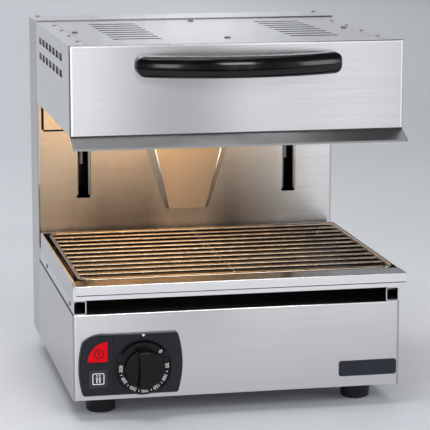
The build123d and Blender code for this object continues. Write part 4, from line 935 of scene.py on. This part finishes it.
# name, place, the point it faces, width and height, radiance, colour where it isn't white
softbox("left_low", (-1.5, -0.1, 0.5), (0.0, -0.1, 0.2), (1.2, 0.5), 0.75)
softbox("right_low", (1.5, -0.15, 0.5), (0.1, 0.1, 0.25), (1.2, 0.5), 0.75)
softbox("left_front", (-1.35, -2.3, 0.75), AIM, (0.62, 1.3), 5.0)
softbox("right_side", (2.1, -1.5, 0.7), AIM, (1.0, 1.2), 4.4, COOL)
softbox("overhead", (-0.4, 0.5, 2.4), (-0.2, 0.3, 0.3), (2.4, 2.2), 1.35)
softbox("strip", (0.44, -1.15, 2.4), (0.0, -0.2, 0.4), (0.12, 0.6), 7.0)
softbox("top_front", (-0.6, -0.85, 2.2), (-0.6, -0.4, 0.0), (1.1, 0.5), 7.0)
softbox("front_high", (0.356, -2.496, 1.7), (0.0, -0.25, 0.478), (0.84, 0.72), 10.0)
softbox("backdrop", (0.1, 1.5, 2.6), (0.4, 3.4, 0.0), (2.4, 0.8), 1.7)
softbox("rear_left", (-2.3, 1.9, 1.3), (-0.8, 2.6, 0.2), (1.2, 1.2), 4.6)
softbox("rear_wide", (0.65, 3.4, 0.85), (0.1, 0.0, 0.5), (2.2, 0.9), 0.36)

# lamps one before the other, so that their light fades towards both sides
BAND_WIDTHS = (0.2, 0.34, 0.48, 0.62)
BAND_HEIGHT = 0.9
BAND_X, BAND_Y, BAND_Z = (0.66, 3.38, 0.85)
BAND_GAP = 0.01
BAND_AIM = (0.0, 0.0, 0.5)
BAND_RADIANCE = 0.13
for step, width in enumerate(BAND_WIDTHS):
    place = (BAND_X, BAND_Y - BAND_GAP * step, BAND_Z)
    softbox(f"rear_band_{step + 1}", place, BAND_AIM, (width, BAND_HEIGHT), BAND_RADIANCE)

# brightness of the room around the grill, by degrees to the right of straight ahead of it
ROOM = (
    (-180, 0.5), (-120, 0.55), (-60, 0.36), (-44, 0.32), (-36, 0.7), (-22, 0.7), (-13, 0.4), (-7, 0.3), (0, 0.5),
    (5, 1.2), (7, 1.4), (8.6, 1.2), (9.5, 0.85), (10.2, 0.36), (11.1, 0.42), (11.9, 0.9), (13.2, 1.38), (14.3, 0.9),
    (15.2, 1.3), (17.6, 1.1), (20, 0.34), (29, 0.3), (38, 0.7), (60, 0.7), (70, 0.4), (100, 0.42), (180, 0.5),
)
ROOM_TINT = (0.5, 0.505, 0.52)
ROOM_STRENGTH = 2.0
LEVELS = ((-1, 0.22), (-0.42, 0.25), (-0.24, 1.0), (0.24, 1.0), (0.55, 0.24), (1, 0.2))  # by the sine of the height


def studio_world():
    """The room as the object's faces reflect it, and a plain pale colour for the camera."""
    world = bpy.data.worlds.new("studio")
    bpy.context.scene.world = world
    world.use_nodes = True
    sky = Graph(world.node_tree)
    x, y, z = sky.axes(sky.add("ShaderNodeTexCoord").outputs["Generated"])
    angle = sky.calc("ARCTAN2", x, sky.calc("MULTIPLY", y, -1.0))
    stops = [((degrees + 180) / 360, [value * part for part in ROOM_TINT]) for degrees, value in ROOM]
    colour = sky.ramp(sky.span(angle, -math.pi, math.pi, 0.0, 1.0), stops)
    levels = [((sine + 1) / 2, [value] * 3) for sine, value in LEVELS]
    level = sky.ramp(sky.span(z, -1.0, 1.0, 0.0, 1.0), levels)
    room = sky.tree.nodes["Background"]
    sky.feed(room.inputs["Color"], colour)
    sky.feed(room.inputs["Strength"], sky.calc("MULTIPLY", level, ROOM_STRENGTH))
    pale = sky.add("ShaderNodeBackground")
    sky.feed(pale.inputs["Color"], PALE)
    sky.feed(pale.inputs["Strength"], PALE_STRENGTH)
    mix = sky.add("ShaderNodeMixShader")
    sky.feed(mix.inputs[0], sky.add("ShaderNodeLightPath").outputs["Is Camera Ray"])
    sky.feed(mix.inputs[1], room.outputs[0])
    sky.feed(mix.inputs[2], pale.outputs[0])
    sky.feed(sky.tree.nodes["World Output"].inputs["Surface"], mix.outputs[0])


studio_world()

bpy.context.scene.view_settings.view_transform = "Standard"
